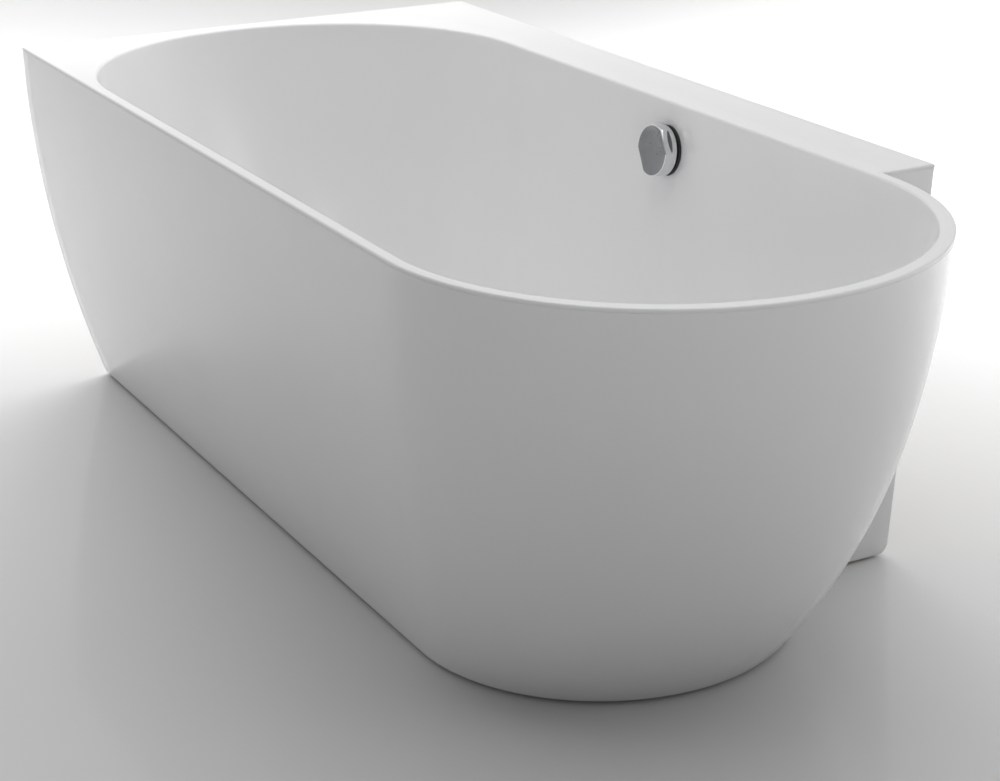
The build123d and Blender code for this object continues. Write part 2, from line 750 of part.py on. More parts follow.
# Wall brackets: angles screwed to the walls, with the battens resting on them
BRACKET_HOLE_Z = BATTEN_Z - WALL_HOLE_DROP
BRACKET_LOW = BATTEN_Z - BRACKET_DROP
for side, x in BACK_BRACKETS.items():
    with BuildPart() as wall_bracket:
        near, far = x - BRACKET_HALF, x + BRACKET_HALF
        add(box_between((near, BACK - STRAP, BRACKET_LOW), (far, BACK, BATTEN_Z)))
        add(box_between((near, BACK - BRACKET_SHELF, BATTEN_Z - STRAP), (far, BACK, BATTEN_Z)))
        with BuildSketch(Plane.XZ.offset(-BACK)):
            with Locations((x, BRACKET_HOLE_Z)):
                Circle(WALL_SCREW_HOLE)
        extrude(amount=STRAP, mode=Mode.SUBTRACT)
        with BuildSketch(Plane.XY.offset(BATTEN_Z - STRAP)):
            with Locations((x, REAR_SCREW_Y)):
                Circle(SCREW_RADIUS + PILOT_GAP)
        extrude(amount=STRAP, mode=Mode.SUBTRACT)
    finish(wall_bracket, f"wall_bracket_{side}")

with BuildPart() as wall_bracket_side:
    low_y, high_y = SIDE_BRACKET_Y - SIDE_BRACKET_HALF, SIDE_BRACKET_Y + SIDE_BRACKET_HALF
    add(box_between((LEFT, low_y, BRACKET_LOW), (LEFT + STRAP, high_y, BATTEN_Z)))
    add(box_between((LEFT, low_y, BATTEN_Z - STRAP), (SIDE_BATTEN_RIGHT, high_y, BATTEN_Z)))
    with BuildSketch(Plane.YZ.offset(LEFT)):
        with Locations(*[(y, BRACKET_HOLE_Z) for y in SIDE_HOLES]):
            Circle(WALL_SCREW_HOLE)
    extrude(amount=STRAP, mode=Mode.SUBTRACT)
    with BuildSketch(Plane.XY.offset(BATTEN_Z - STRAP)):
        with Locations(*[(SIDE_SCREW_X, y) for y in SIDE_HOLES]):
            Circle(SCREW_RADIUS + PILOT_GAP)
    extrude(amount=STRAP, mode=Mode.SUBTRACT)
finish(wall_bracket_side, "wall_bracket_side")

BATTEN_FIXINGS = [(x, REAR_SCREW_Y) for x in BACK_BRACKETS.values()]
BATTEN_FIXINGS += [(SIDE_SCREW_X, y) for y in SIDE_HOLES]
with BuildPart() as wall_bracket_screws:
    for x, y in BATTEN_FIXINGS:
        head_top = BATTEN_Z - STRAP
        add(level_tube(x, y, head_top - HEAD_HEIGHT, head_top, SCREW_HEAD))
        add(level_tube(x, y, head_top, BATTEN_Z + BATTEN_GRIP, SCREW_RADIUS))
finish(wall_bracket_screws, "wall_bracket_screws")

# Overflow: rosette and knob inside the basin, seal and housing behind it
with BuildPart() as overflow_rosette:
    with BuildSketch(overflow_plane.offset(ROSETTE_BACK)):
        Circle(ROSETTE_RADIUS)
        with PolarLocations(WATER_HOLE_PITCH, 4, start_angle=45):
            Circle(WATER_HOLE, mode=Mode.SUBTRACT)
    extrude(amount=ROSETTE_FRONT - ROSETTE_BACK)
    with BuildSketch(overflow_plane.offset(ROSETTE_FRONT)):
        Circle(ROSETTE_HUB)
    extrude(amount=KNOB_BACK - HUB_GAP - ROSETTE_FRONT)
    with BuildSketch(overflow_plane):
        Circle(SPINDLE_RADIUS + RUNNING_GAP)
        with PolarLocations(ROSETTE_SCREW_PITCH, 2):
            Circle(ROSETTE_SCREW + PILOT_GAP)
    extrude(amount=KNOB_BACK, mode=Mode.SUBTRACT)
finish(overflow_rosette, "overflow_rosette")

with BuildPart() as overflow_screws:
    with BuildSketch(overflow_plane.offset(ROSETTE_FRONT)):
        with PolarLocations(ROSETTE_SCREW_PITCH, 2):
            Circle(2 * ROSETTE_SCREW)
    extrude(amount=ROSETTE_SCREW_HEAD)
    with BuildSketch(overflow_plane.offset(ROSETTE_FRONT - ROSETTE_SCREW_LENGTH)):
        with PolarLocations(ROSETTE_SCREW_PITCH, 2):
            Circle(ROSETTE_SCREW)
    extrude(amount=ROSETTE_SCREW_LENGTH)
finish(overflow_screws, "overflow_screws")

with BuildPart() as overflow_knob:
    with BuildSketch(overflow_plane.offset(KNOB_BACK)):
        Circle(KNOB_RADIUS)
    extrude(amount=KNOB_FRONT - KNOB_BACK)
    fillet(overflow_knob.edges().filter_by(GeomType.CIRCLE), KNOB_EDGE)
    with BuildSketch(overflow_plane.offset(KNOB_STEP)):
        with PolarLocations(GRIP_SHARE * KNOB_RADIUS, 2, start_angle=GRIP_ANGLE):
            Rectangle(KNOB_RADIUS, 2 * KNOB_RADIUS, align=(Align.MIN, Align.CENTER))
    extrude(amount=KNOB_FRONT, mode=Mode.SUBTRACT)
    with BuildSketch(overflow_plane.offset(KNOB_BACK)):
        Circle(KNOB_HOLLOW)
        Circle(ROSETTE_HUB, mode=Mode.SUBTRACT)
    extrude(amount=KNOB_FRONT - KNOB_BACK - KNOB_FACE, mode=Mode.SUBTRACT)
    with BuildSketch(overflow_plane.offset(KNOB_BACK)):
        Circle(SPINDLE_RADIUS + PILOT_GAP)
    extrude(amount=KNOB_FRONT - KNOB_BACK - SPINDLE_STOP, mode=Mode.SUBTRACT)
    grub_level = (KNOB_BACK + KNOB_STEP) / 2
    grub_plane = Plane(origin=on_wall(0, 0, grub_level), x_dir=(1, 0, 0), z_dir=DOWN)
    with BuildSketch(grub_plane):
        Circle(ROSETTE_SCREW + PILOT_GAP)
    extrude(amount=KNOB_RADIUS + CUT, mode=Mode.SUBTRACT)
finish(overflow_knob, "overflow_knob")

with BuildPart() as knob_grub_screw:
    add(tube(grub_plane.offset(SPINDLE_RADIUS + RUNNING_GAP), ROSETTE_SCREW, 0, GRUB_LENGTH))
finish(knob_grub_screw, "knob_grub_screw")

# Spindle through the overflow, with the crank that pulls the control cable
with BuildPart() as overflow_spindle:
    spindle_length = KNOB_FRONT - SPINDLE_STOP - HUB_GAP - CRANK_BACK
    add(tube(overflow_plane.offset(CRANK_BACK), SPINDLE_RADIUS, 0, spindle_length))
    with BuildSketch(overflow_plane.offset(CRANK_BACK)):
        with Locations((CRANK_ARM / 2, 0)):
            SlotOverall(CRANK_ARM + CRANK_WIDTH, CRANK_WIDTH)
    extrude(amount=CRANK_THICK)
finish(overflow_spindle, "overflow_spindle")

with BuildPart() as overflow_seal:
    add(tube(overflow_plane.offset(HOUSING_FRONT), HOUSING_FLANGE, WASTE_HOLE + 1, SEAL_THICK))
finish(overflow_seal, "overflow_seal")

# Housing behind the wall: flange and cup, spigot for the hose, screw bosses and the cable's stop
with BuildPart() as overflow_housing:
    add(tube(overflow_plane.offset(HOUSING_FRONT - HOUSING_LIP), HOUSING_FLANGE, 0, HOUSING_LIP))
    add(tube(overflow_plane.offset(HOUSING_BACK), HOUSING_CUP, 0, HOUSING_FRONT - HOUSING_BACK))
    spigot_plane = Plane(origin=on_wall(0, 0, SPIGOT_OUT), x_dir=(1, 0, 0), z_dir=DOWN)
    add(tube(spigot_plane, HOSE_RADIUS, 0, SPIGOT_LENGTH))
    cup_depth = HOUSING_FRONT - HOUSING_BACK
    cup_floor = overflow_plane.offset(HOUSING_BACK + HOUSING_WALL)
    add(tube(cup_floor, HOUSING_CUP - HOUSING_WALL, 0, cup_depth), mode=Mode.SUBTRACT)
    add(tube(spigot_plane, HOSE_BORE, 0, SPIGOT_LENGTH), mode=Mode.SUBTRACT)
    with BuildSketch(cup_floor):
        with PolarLocations(ROSETTE_SCREW_PITCH, 2):
            Circle(ROSETTE_SCREW + BOSS_WALL)
    extrude(amount=cup_depth - BOSS_SHORT)
    with BuildSketch(cup_floor):
        with PolarLocations(ROSETTE_SCREW_PITCH, 2):
            Circle(ROSETTE_SCREW + PILOT_GAP)
    extrude(amount=cup_depth, mode=Mode.SUBTRACT)
    with BuildSketch(overflow_plane.offset(HOUSING_BACK)):
        with Locations((CRANK_ARM, -CABLE_STOP / 2)):
            Rectangle(STOP_WIDTH, STOP_RIB, align=(Align.CENTER, Align.MAX))
    extrude(amount=HOUSING_WALL)
    with BuildSketch(overflow_plane.offset(CRANK_BACK - STOP_BEYOND)):
        with Locations((CRANK_ARM, -CABLE_STOP)):
            Rectangle(STOP_WIDTH, STOP_THICK)
    extrude(amount=HOUSING_BACK - CRANK_BACK + STOP_BEYOND)
    with BuildSketch(overflow_plane.offset(HOUSING_BACK - CUT)):
        Circle(SPINDLE_RADIUS + RUNNING_GAP)
    extrude(amount=HOUSING_WALL + 2 * CUT, mode=Mode.SUBTRACT)
    wire_plane = Plane(origin=on_wall(CRANK_ARM, 0, CABLE_OUT), x_dir=(1, 0, 0), z_dir=DOWN)
    add(tube(wire_plane, CABLE_WIRE, 0, 2 * CABLE_STOP), mode=Mode.SUBTRACT)
finish(overflow_housing, "overflow_housing")

# Waste: flange over the floor, seals, body below with its hose port, cable gland and lever lugs
WASTE_X_Y = Plane(origin=(WASTE_X, TUB_Y, 0))
FLANGE_TOP = BASIN_FLOOR + TOP_SEAL + FLANGE_THICK
with BuildPart() as waste_flange:
    with BuildSketch(WASTE_X_Y.offset(BASIN_FLOOR + TOP_SEAL)):
        Circle(FLANGE_RADIUS)
        Circle(FLANGE_BORE, mode=Mode.SUBTRACT)
    extrude(amount=FLANGE_THICK)
    fillet(waste_flange.edges().sort_by(Axis.Z)[-2:], FLANGE_EDGE)
    with BuildSketch(WASTE_X_Y.offset(SLEEVE_END)):
        Circle(SLEEVE_RADIUS)
        Circle(FLANGE_BORE, mode=Mode.SUBTRACT)
    extrude(amount=BASIN_FLOOR + TOP_SEAL - SLEEVE_END)
    with BuildSketch(WASTE_X_Y.offset(SLEEVE_END)):
        with PolarLocations(0, 3):
            Rectangle(FLANGE_BORE + 1, SPIDER, align=(Align.MIN, Align.CENTER))
        Circle(2 * STEM_R)
        Circle(STEM_R + RUNNING_GAP, mode=Mode.SUBTRACT)
    extrude(amount=SPIDER + 2)
finish(waste_flange, "waste_flange")

with BuildPart() as waste_top_seal:
    add(level_tube(*WASTE, BASIN_FLOOR, BASIN_FLOOR + TOP_SEAL, FLANGE_RADIUS - 1, WASTE_HOLE))
finish(waste_top_seal, "waste_top_seal")

BODY_TOP = GLASS_UNDER - SEAL_THICK
with BuildPart() as waste_bottom_seal:
    add(level_tube(*WASTE, BODY_TOP, GLASS_UNDER, BODY_FLANGE - 1, WASTE_HOLE + 0.5))
finish(waste_bottom_seal, "waste_bottom_seal")

LEVER_X = WASTE_X + LEVER_ARM
with BuildPart() as waste_body:
    add(level_tube(*WASTE, BODY_TOP - BODY_FLANGE_THICK, BODY_TOP, BODY_FLANGE))
    add(level_tube(*WASTE, BODY_FLOOR, BODY_TOP, BODY_RADIUS))
    add(level_tube(*WASTE, SPIGOT_END, BODY_FLOOR, OUTLET_RADIUS))
    port_plane = Plane(origin=(WASTE_X, TUB_Y, PORT_Z), x_dir=(1, 0, 0), z_dir=(0, 1, 0))
    gland_plane = Plane(origin=(WASTE_X, TUB_Y, GLAND_Z), x_dir=(0, 1, 0), z_dir=(1, 0, 0))
    add(tube(port_plane, HOSE_RADIUS, 0, PORT_END))
    add(tube(gland_plane, 2 * CABLE_RADIUS, 0, GLAND_END))
    body_bore = SLEEVE_RADIUS + RUNNING_GAP
    body_floor = BODY_FLOOR + BODY_FLOOR_THICK
    add(level_tube(*WASTE, body_floor, BODY_TOP, body_bore), mode=Mode.SUBTRACT)
    add(level_tube(*WASTE, SPIGOT_END, BODY_TOP, OUTLET_RADIUS - BODY_WALL), mode=Mode.SUBTRACT)
    add(tube(port_plane, HOSE_BORE, 0, PORT_END), mode=Mode.SUBTRACT)
    add(tube(gland_plane, CABLE_RADIUS + PILOT_GAP, 0, GLAND_END), mode=Mode.SUBTRACT)
    for side in (-1, 1):
        lug_y = TUB_Y + side * LUG_Y
        low = (LEVER_X - LUG_WIDTH[0], lug_y - LUG_HALF, LUG_LOW)
        add(box_between(low, (LEVER_X + LUG_WIDTH[1], lug_y + LUG_HALF, LUG_HIGH)))
    pin_plane = Plane(origin=(LEVER_X, TUB_Y - PIN_HALF, LEVER_Z), x_dir=(1, 0, 0), z_dir=(0, 1, 0))
    add(tube(pin_plane, PIN_RADIUS + PILOT_GAP, 0, 2 * PIN_HALF), mode=Mode.SUBTRACT)
finish(waste_body, "waste_body")

with BuildPart() as lever_pin:
    add(tube(pin_plane, PIN_RADIUS, 0, 2 * PIN_HALF))
finish(lever_pin, "lever_pin")

with BuildPart() as plug_lever:
    with BuildSketch(Plane.XZ.offset(-(TUB_Y + LEVER_HALF))):
        with Locations((LEVER_X, LEVER_Z)):
            Circle(HUB_RADIUS)
        with Locations((WASTE_X, LEVER_Z)):
            Circle(TIP_RADIUS)
        with Locations((WASTE_X + LEVER_ARM / 2, LEVER_Z)):
            Rectangle(LEVER_ARM, LEVER_THICK)
        with Locations((LEVER_X, LEVER_Z + (GLAND_Z - LEVER_Z) / 2)):
            Rectangle(LEVER_THICK - 1, GLAND_Z - LEVER_Z)
        with Locations((LEVER_X, LEVER_Z)):
            Circle(PIN_RADIUS + RUNNING_GAP, mode=Mode.SUBTRACT)
    extrude(amount=2 * LEVER_HALF)
finish(plug_lever, "plug_lever")

# Plug: chrome cap over a flat seal, on a stem that stands on the lever's tip
STEM_FOOT = LEVER_Z + TIP_RADIUS + LEVER_GAP
SEAL_Z = FLANGE_TOP + PLUG_GAP
CAP_Z = SEAL_Z + PLUG_SEAL
STEM_HEAD = CAP_Z + 1
with BuildPart() as plug_stem:
    add(level_tube(*WASTE, STEM_FOOT, STEM_HEAD, STEM_R))
finish(plug_stem, "plug_stem")

crown_rise = CAP_CROWN - CAP_RIM
crown_radius = (CAP_RADIUS**2 + crown_rise**2) / (2 * crown_rise)
crown_middle = CAP_Z + CAP_CROWN - crown_radius + sqrt(crown_radius**2 - CAP_RADIUS**2 / 4)
with BuildPart() as plug_cap:
    with BuildSketch(Plane(origin=(WASTE_X, TUB_Y, 0), x_dir=(1, 0, 0), z_dir=(0, -1, 0))):
        with BuildLine():
            Polyline(
                (0, CAP_Z + CAP_CROWN),
                (0, STEM_HEAD),
                (STEM_R + PILOT_GAP, STEM_HEAD),
                (STEM_R + PILOT_GAP, SEAL_Z - CAP_BOSS),
                (2 * STEM_R, SEAL_Z - CAP_BOSS),
                (2 * STEM_R, CAP_Z),
                (CAP_RADIUS, CAP_Z),
                (CAP_RADIUS, CAP_Z + CAP_RIM),
            )
            ThreePointArc(
                (CAP_RADIUS, CAP_Z + CAP_RIM),
                (CAP_RADIUS / 2, crown_middle),
                (0, CAP_Z + CAP_CROWN),
            )
        make_face()
    revolve(axis=Axis((WASTE_X, TUB_Y, 0), (0, 0, 1)))
finish(plug_cap, "plug_cap")

with BuildPart() as plug_seal:
    add(level_tube(*WASTE, SEAL_Z, CAP_Z, PLUG_SEAL_RADIUS, 2 * STEM_R + PILOT_GAP))
finish(plug_seal, "plug_seal")

# Shallow trap below the waste body, and the pipe that leads to the back wall
with BuildPart() as trap_bowl:
    add(level_tube(*WASTE, TRAP_LOW, TRAP_HIGH, TRAP_RADIUS))
    add(level_tube(*WASTE, TRAP_HIGH, COLLAR_TOP, COLLAR_RADIUS))
    outlet_plane = Plane(origin=(WASTE_X, TUB_Y, OUTLET_Z), x_dir=(1, 0, 0), z_dir=(0, 1, 0))
    socket = OUTLET_RADIUS + TRAP_WALL
    add(tube(outlet_plane, socket, 0, SOCKET_END))
    trap_floor = TRAP_LOW + TRAP_WALL
    inside = level_tube(*WASTE, trap_floor, TRAP_HIGH - TRAP_WALL, TRAP_RADIUS - TRAP_WALL)
    add(inside, mode=Mode.SUBTRACT)
    neck = OUTLET_RADIUS + PILOT_GAP
    add(level_tube(*WASTE, trap_floor, COLLAR_TOP, neck), mode=Mode.SUBTRACT)
    add(tube(outlet_plane, OUTLET_BORE, 0, SOCKET_END), mode=Mode.SUBTRACT)
    add(tube(outlet_plane.offset(PIPE_START), neck, 0, SOCKET_END), mode=Mode.SUBTRACT)
finish(trap_bowl, "trap_bowl")

SEAL_TOP = COLLAR_TOP + TRAP_SEAL
with BuildPart() as trap_seal:
    add(level_tube(*WASTE, COLLAR_TOP, SEAL_TOP, COLLAR_RADIUS, neck))
finish(trap_seal, "trap_seal")

with BuildPart() as trap_nut:
    nut_radius = COLLAR_RADIUS + NUT_WALL
    add(level_tube(*WASTE, TRAP_HIGH, SEAL_TOP, nut_radius, COLLAR_RADIUS + RUNNING_GAP))
    add(level_tube(*WASTE, SEAL_TOP, SEAL_TOP + NUT_LID, nut_radius, neck))
finish(trap_nut, "trap_nut")

with BuildPart() as outlet_pipe:
    pipe_length = PIPE_END - TUB_Y - PIPE_START
    add(tube(outlet_plane.offset(PIPE_START), OUTLET_RADIUS, OUTLET_BORE, pipe_length))
    add(tube(outlet_plane.offset(BEAD_Y - TUB_Y), BEAD_RADIUS, OUTLET_BORE, BEAD_WIDTH))
finish(outlet_pipe, "outlet_pipe")

with BuildPart() as outlet_seal:
    add(tube(outlet_plane.offset(SOCKET_END), socket, neck, TRAP_SEAL))
finish(outlet_seal, "outlet_seal")

with BuildPart() as outlet_nut:
    nut_radius = socket + OUTLET_NUT_WALL
    nut_start = outlet_plane.offset(SOCKET_END - OUTLET_NUT_GRIP)
    add(tube(nut_start, nut_radius, socket + RUNNING_GAP, OUTLET_NUT_GRIP + TRAP_SEAL))
    add(tube(outlet_plane.offset(SOCKET_END + TRAP_SEAL), nut_radius, neck, NUT_LID))
finish(outlet_nut, "outlet_nut")

# Overflow hose, down behind the basin and in under the floor, with a union nut at each end
hose_top = on_wall(0, -SPIGOT_LENGTH, SPIGOT_OUT)
hose_foot = Vector(WASTE_X, TUB_Y + PORT_END, PORT_Z)
hose_route = [hose_top, hose_top + DOWN * HOSE_DROP]
hose_route += [Vector(WASTE_X, y, z) for y, z in HOSE_BENDS]
hose_route.append(hose_foot)
with BuildPart() as overflow_hose:
    add(hose(hose_route, HOSE_RADIUS, HOSE_BORE))
finish(overflow_hose, "overflow_hose")

top_joint = Plane(origin=hose_top - DOWN * JOINT_LAP, x_dir=(1, 0, 0), z_dir=DOWN)
foot_joint = port_plane.offset(PORT_END - JOINT_LAP)
with BuildPart() as hose_nuts:
    for joint in (top_joint, foot_joint):
        add(tube(joint, HOSE_NUT, HOSE_RADIUS + RUNNING_GAP, 2 * JOINT_LAP))
finish(hose_nuts, "hose_nuts")

# Control cable: the sheath, from the stop on the housing to the gland on the waste body
cable_start = on_wall(CRANK_ARM, -CABLE_STOP - STOP_THICK / 2, CABLE_OUT)
cable_foot = Vector(WASTE_X + GLAND_END - GLAND_GRIP, TUB_Y, GLAND_Z)
cable_route = [cable_start, cable_start + DOWN * CABLE_DROP]
cable_route += [Vector(*bend) for bend in CABLE_BENDS]
cable_route.append(cable_foot)
with BuildPart() as control_cable:
    add(hose(cable_route, CABLE_RADIUS, 0))
finish(control_cable, "control_cable")
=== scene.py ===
import json
import math

import bmesh
import bpy
import numpy as np
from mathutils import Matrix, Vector


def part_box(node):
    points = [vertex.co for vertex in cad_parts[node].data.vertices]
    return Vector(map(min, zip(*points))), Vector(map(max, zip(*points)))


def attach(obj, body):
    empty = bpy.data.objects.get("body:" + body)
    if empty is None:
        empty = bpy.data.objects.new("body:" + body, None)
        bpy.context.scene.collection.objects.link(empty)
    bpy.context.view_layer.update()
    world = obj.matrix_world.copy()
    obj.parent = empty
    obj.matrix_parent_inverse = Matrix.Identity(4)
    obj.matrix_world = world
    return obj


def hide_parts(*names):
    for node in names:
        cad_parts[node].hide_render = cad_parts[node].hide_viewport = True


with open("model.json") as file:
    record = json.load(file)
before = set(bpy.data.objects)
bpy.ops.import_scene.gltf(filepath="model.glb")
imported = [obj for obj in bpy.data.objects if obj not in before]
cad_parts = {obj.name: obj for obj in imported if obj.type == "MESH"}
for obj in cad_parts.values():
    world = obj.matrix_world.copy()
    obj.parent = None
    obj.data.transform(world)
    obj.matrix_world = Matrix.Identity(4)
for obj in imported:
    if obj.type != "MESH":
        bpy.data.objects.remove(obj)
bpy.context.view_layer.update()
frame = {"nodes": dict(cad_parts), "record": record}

# Camera, at the photograph's viewing angle
CAMERA_PLACE = (2.6260, -1.4058, 1.3048)
CAMERA_AZIMUTH = math.radians(59.744)
CAMERA_PITCH = math.radians(20.474)
SENSOR = 36
FOCAL_PIXELS = 2192.3
IMAGE_WIDTH, IMAGE_HEIGHT = 1000, 781
VIEW_CENTRE = (568.6, 386.7)


def make_camera():
    data = bpy.data.cameras.new("camera")
    data.sensor_width = SENSOR
    data.lens = FOCAL_PIXELS / IMAGE_WIDTH * SENSOR
    data.shift_x = (IMAGE_WIDTH / 2 - VIEW_CENTRE[0]) / IMAGE_WIDTH
    data.shift_y = (VIEW_CENTRE[1] - IMAGE_HEIGHT / 2) / IMAGE_WIDTH
    camera = bpy.data.objects.new("camera", data)
    bpy.context.collection.objects.link(camera)
    camera.location = CAMERA_PLACE
    look = Vector((
        -math.sin(CAMERA_AZIMUTH) * math.cos(CAMERA_PITCH),
        math.cos(CAMERA_AZIMUTH) * math.cos(CAMERA_PITCH),
        -math.sin(CAMERA_PITCH),
    ))
    camera.rotation_mode = "QUATERNION"
    camera.rotation_quaternion = look.to_track_quat("-Z", "Y")
    bpy.context.scene.camera = camera


make_camera()

# Driving dimensions in metres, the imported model's own. X runs to the round end, Y to the wall, Z up.
LEFT, RIGHT = -0.850, 0.850
FRONT, BACK = -0.400, 0.400
TOP = 0.580
END_RADIUS = 0.3575
TUB_Y = FRONT + END_RADIUS
DECK_END_TOP = 0.475
DECK_END_LEAN = 0.055
DECK_END_GAP = 0.012
BULGE_SIDE = 0.0985
BULGE_END = (0.0723, 0.0422, 0.1144)
RIM_RADIUS = 0.340
BASIN_LEFT = -0.819
BASIN_RIGHT = 0.829
BASIN_FLOOR = 0.130
BASIN_SIDE_INSET = 0.085
BASIN_END_INSET = 0.255
SLOPE_SHARE = 0.45
FLOOR_FILLET = 0.070
ACRYLIC = 0.005
RIM_EDGE = 0.003
OPENING_EDGE = 0.004
WALL_EDGE = 0.001
JOINT_EDGE = 0.0006
LIP_DEPTH = 0.040
BACK_LIP = 1.290
SIDE_LIP = 0.768
SKIRT_BOTTOM = 0.004
SKIRT_WALL = 0.005
SKIRT_TOP = TOP - ACRYLIC
SKIRT_EDGE = 0.0015
RETURN_WIDTH = 0.025
BOND_DEPTH = 0.010
BOND_INSET = 0.0115
FOOT_CORNER = 0.015
BASIN_X = (BASIN_LEFT + BASIN_RIGHT) / 2
BASIN_REACH = (BASIN_RIGHT - BASIN_LEFT) / 2
WASTE_X = BASIN_X
WASTE_HOLE = 0.026
OVERFLOW_Z = 0.509
MERGE_DISTANCE = 2e-6
ARC_SAMPLES = 600


def drop(z):
    """Share of the way from the rim down to the floor."""
    return (TOP - z) / TOP


def skirt_half(z, wall=0.0):
    """Half width of the skirt: the rim's radius less a bulge times the drop squared, less the wall."""
    slope = 2 * BULGE_SIDE * drop(z) / TOP
    return END_RADIUS - BULGE_SIDE * drop(z) ** 2 - wall * np.sqrt(1 + slope**2)


def skirt_tip(z, wall=0.0):
    """X of the half-round end: the right end less a cubic in the drop, less the wall."""
    first, second, third = BULGE_END
    s = drop(z)
    slope = (first + 2 * second * s + 3 * third * s**2) / TOP
    return RIGHT - first * s - second * s**2 - third * s**3 - wall * np.sqrt(1 + slope**2)


def deck_end(z, wall=0.0):
    """X of the leaning return panel: its top less a lean times the drop, less the wall."""
    return DECK_END_TOP - DECK_END_LEAN * drop(z) - wall * math.hypot(1, DECK_END_LEAN / TOP)


def basin_slope_line(z, reach, inset, wall):
    """Basin wall's distance from the axis: reach less inset times a quadratic in depth, plus the wall."""
    depth = TOP - BASIN_FLOOR
    t = (TOP - z) / depth
    slope = inset * (SLOPE_SHARE + 2 * (1 - SLOPE_SHARE) * t) / depth
    return reach - inset * (SLOPE_SHARE * t + (1 - SLOPE_SHARE) * t**2) + wall * np.sqrt(1 + slope**2)


def basin_profile(z, reach, inset, wall=0.0):
    """The slope line with a rounded foot, a circle that touches both the slope line and the floor."""
    floor = BASIN_FLOOR - wall
    radius = FLOOR_FILLET + wall
    centre_z = floor + radius
    low = np.linspace(floor, centre_z, ARC_SAMPLES)
    arc = np.sqrt(np.maximum(radius**2 - (low - centre_z) ** 2, 0))
    gap = basin_slope_line(low, reach, inset, wall) - arc
    touch = int(np.argmin(gap))
    circle = gap[touch] + np.sqrt(np.maximum(radius**2 - (z - centre_z) ** 2, 0))
    return np.where(z < low[touch], circle, basin_slope_line(z, reach, inset, wall))


def grid_faces(rows, columns, closed_rows=False, closed_columns=False):
    """Quads of a grid of points held row by row; a closed direction joins its last line to its first."""
    r = np.arange(rows if closed_rows else rows - 1)[:, None]
    c = np.arange(columns if closed_columns else columns - 1)[None, :]
    up, along = (r + 1) % rows, (c + 1) % columns
    return np.stack([r * columns + c, r * columns + along, up * columns + along, up * columns + c], -1)


def new_piece(name, parts, body="bath", sharp=35):
    """A mesh piece from (points, faces) parts: doubles merged, normals outward, steep edges sharp."""
    points, faces, start = [], [], 0
    for part_points, part_faces in parts:
        part_points = np.asarray(part_points, float).reshape(-1, 3)
        if isinstance(part_faces, np.ndarray):
            part_faces = part_faces.reshape(-1, part_faces.shape[-1]).tolist()
        faces += [[i + start for i in face] for face in part_faces]
        points.append(part_points)
        start += len(part_points)
    mesh = bpy.data.meshes.new(name)
    mesh.from_pydata(np.concatenate(points).tolist(), [], faces)
    shape = bmesh.new()
    shape.from_mesh(mesh)
    bmesh.ops.remove_doubles(shape, verts=shape.verts, dist=MERGE_DISTANCE)
    bmesh.ops.dissolve_degenerate(shape, edges=shape.edges, dist=MERGE_DISTANCE)
    bmesh.ops.recalc_face_normals(shape, faces=shape.faces)
    shape.to_mesh(mesh)
    shape.free()
    mesh.shade_smooth()
    mesh.set_sharp_from_angle(angle=math.radians(sharp))
    piece = bpy.data.objects.new(name, mesh)
    bpy.context.collection.objects.link(piece)
    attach(piece, body)
    return piece


# Columns of the tub's grid, anticlockwise from the left end of the front run. Each has a share of its
# run or, on the two ends, a turn about the end's centre.
RUN_COLUMNS = 60
END_COLUMNS = 88
SHARE = np.concatenate([np.linspace(0, 1, n, endpoint=False) for n in (RUN_COLUMNS, END_COLUMNS) * 2])
STRETCH = np.repeat(range(4), (RUN_COLUMNS, END_COLUMNS) * 2)
FRONT_RUN, ROUND_END, BACK_RUN, LEFT_END = (STRETCH == i for i in range(4))
TURN = np.where(ROUND_END, SHARE - 0.5, SHARE + 0.5) * np.pi
LEFT_CENTRE = BASIN_LEFT + RIM_RADIUS
RIGHT_CENTRE = BASIN_RIGHT - RIM_RADIUS
OUTWARD = np.column_stack([
    np.where(ROUND_END | LEFT_END, np.cos(TURN), 0),
    np.select([FRONT_RUN, BACK_RUN], [-1, 1], np.sin(TURN)),
    np.zeros(len(SHARE)),
])


def basin_rows(z, wall=0.0):
    """The basin's plan at each height, a slot: two straights joined by half circles at the two ends."""
    half = basin_profile(z, RIM_RADIUS, BASIN_SIDE_INSET, wall)[:, None]
    end = basin_profile(z, BASIN_REACH, BASIN_END_INSET, wall)[:, None]
    low, high = BASIN_X - end + half, BASIN_X + end - half
    run = np.where(FRONT_RUN, SHARE, 1 - SHARE)
    x = np.where(FRONT_RUN | BACK_RUN, low + (high - low) * run, np.where(ROUND_END, high, low))
    x = x + half * OUTWARD[:, 0]
    y = TUB_Y + half * OUTWARD[:, 1]
    return np.stack([x, y, np.broadcast_to(z[:, None], x.shape)], -1)


def floor_rows(z, wall, steps):
    """Level rows that widen evenly from the round waste hole to the foot of the basin."""
    axis = np.array([WASTE_X, TUB_Y, z])
    out = basin_rows(np.array([z]), wall)[0] - axis
    hole = WASTE_HOLE * out / np.linalg.norm(out, axis=1, keepdims=True)
    share = np.linspace(0, 1, steps, endpoint=False)[:, None, None]
    return axis + hole + (out - hole) * share


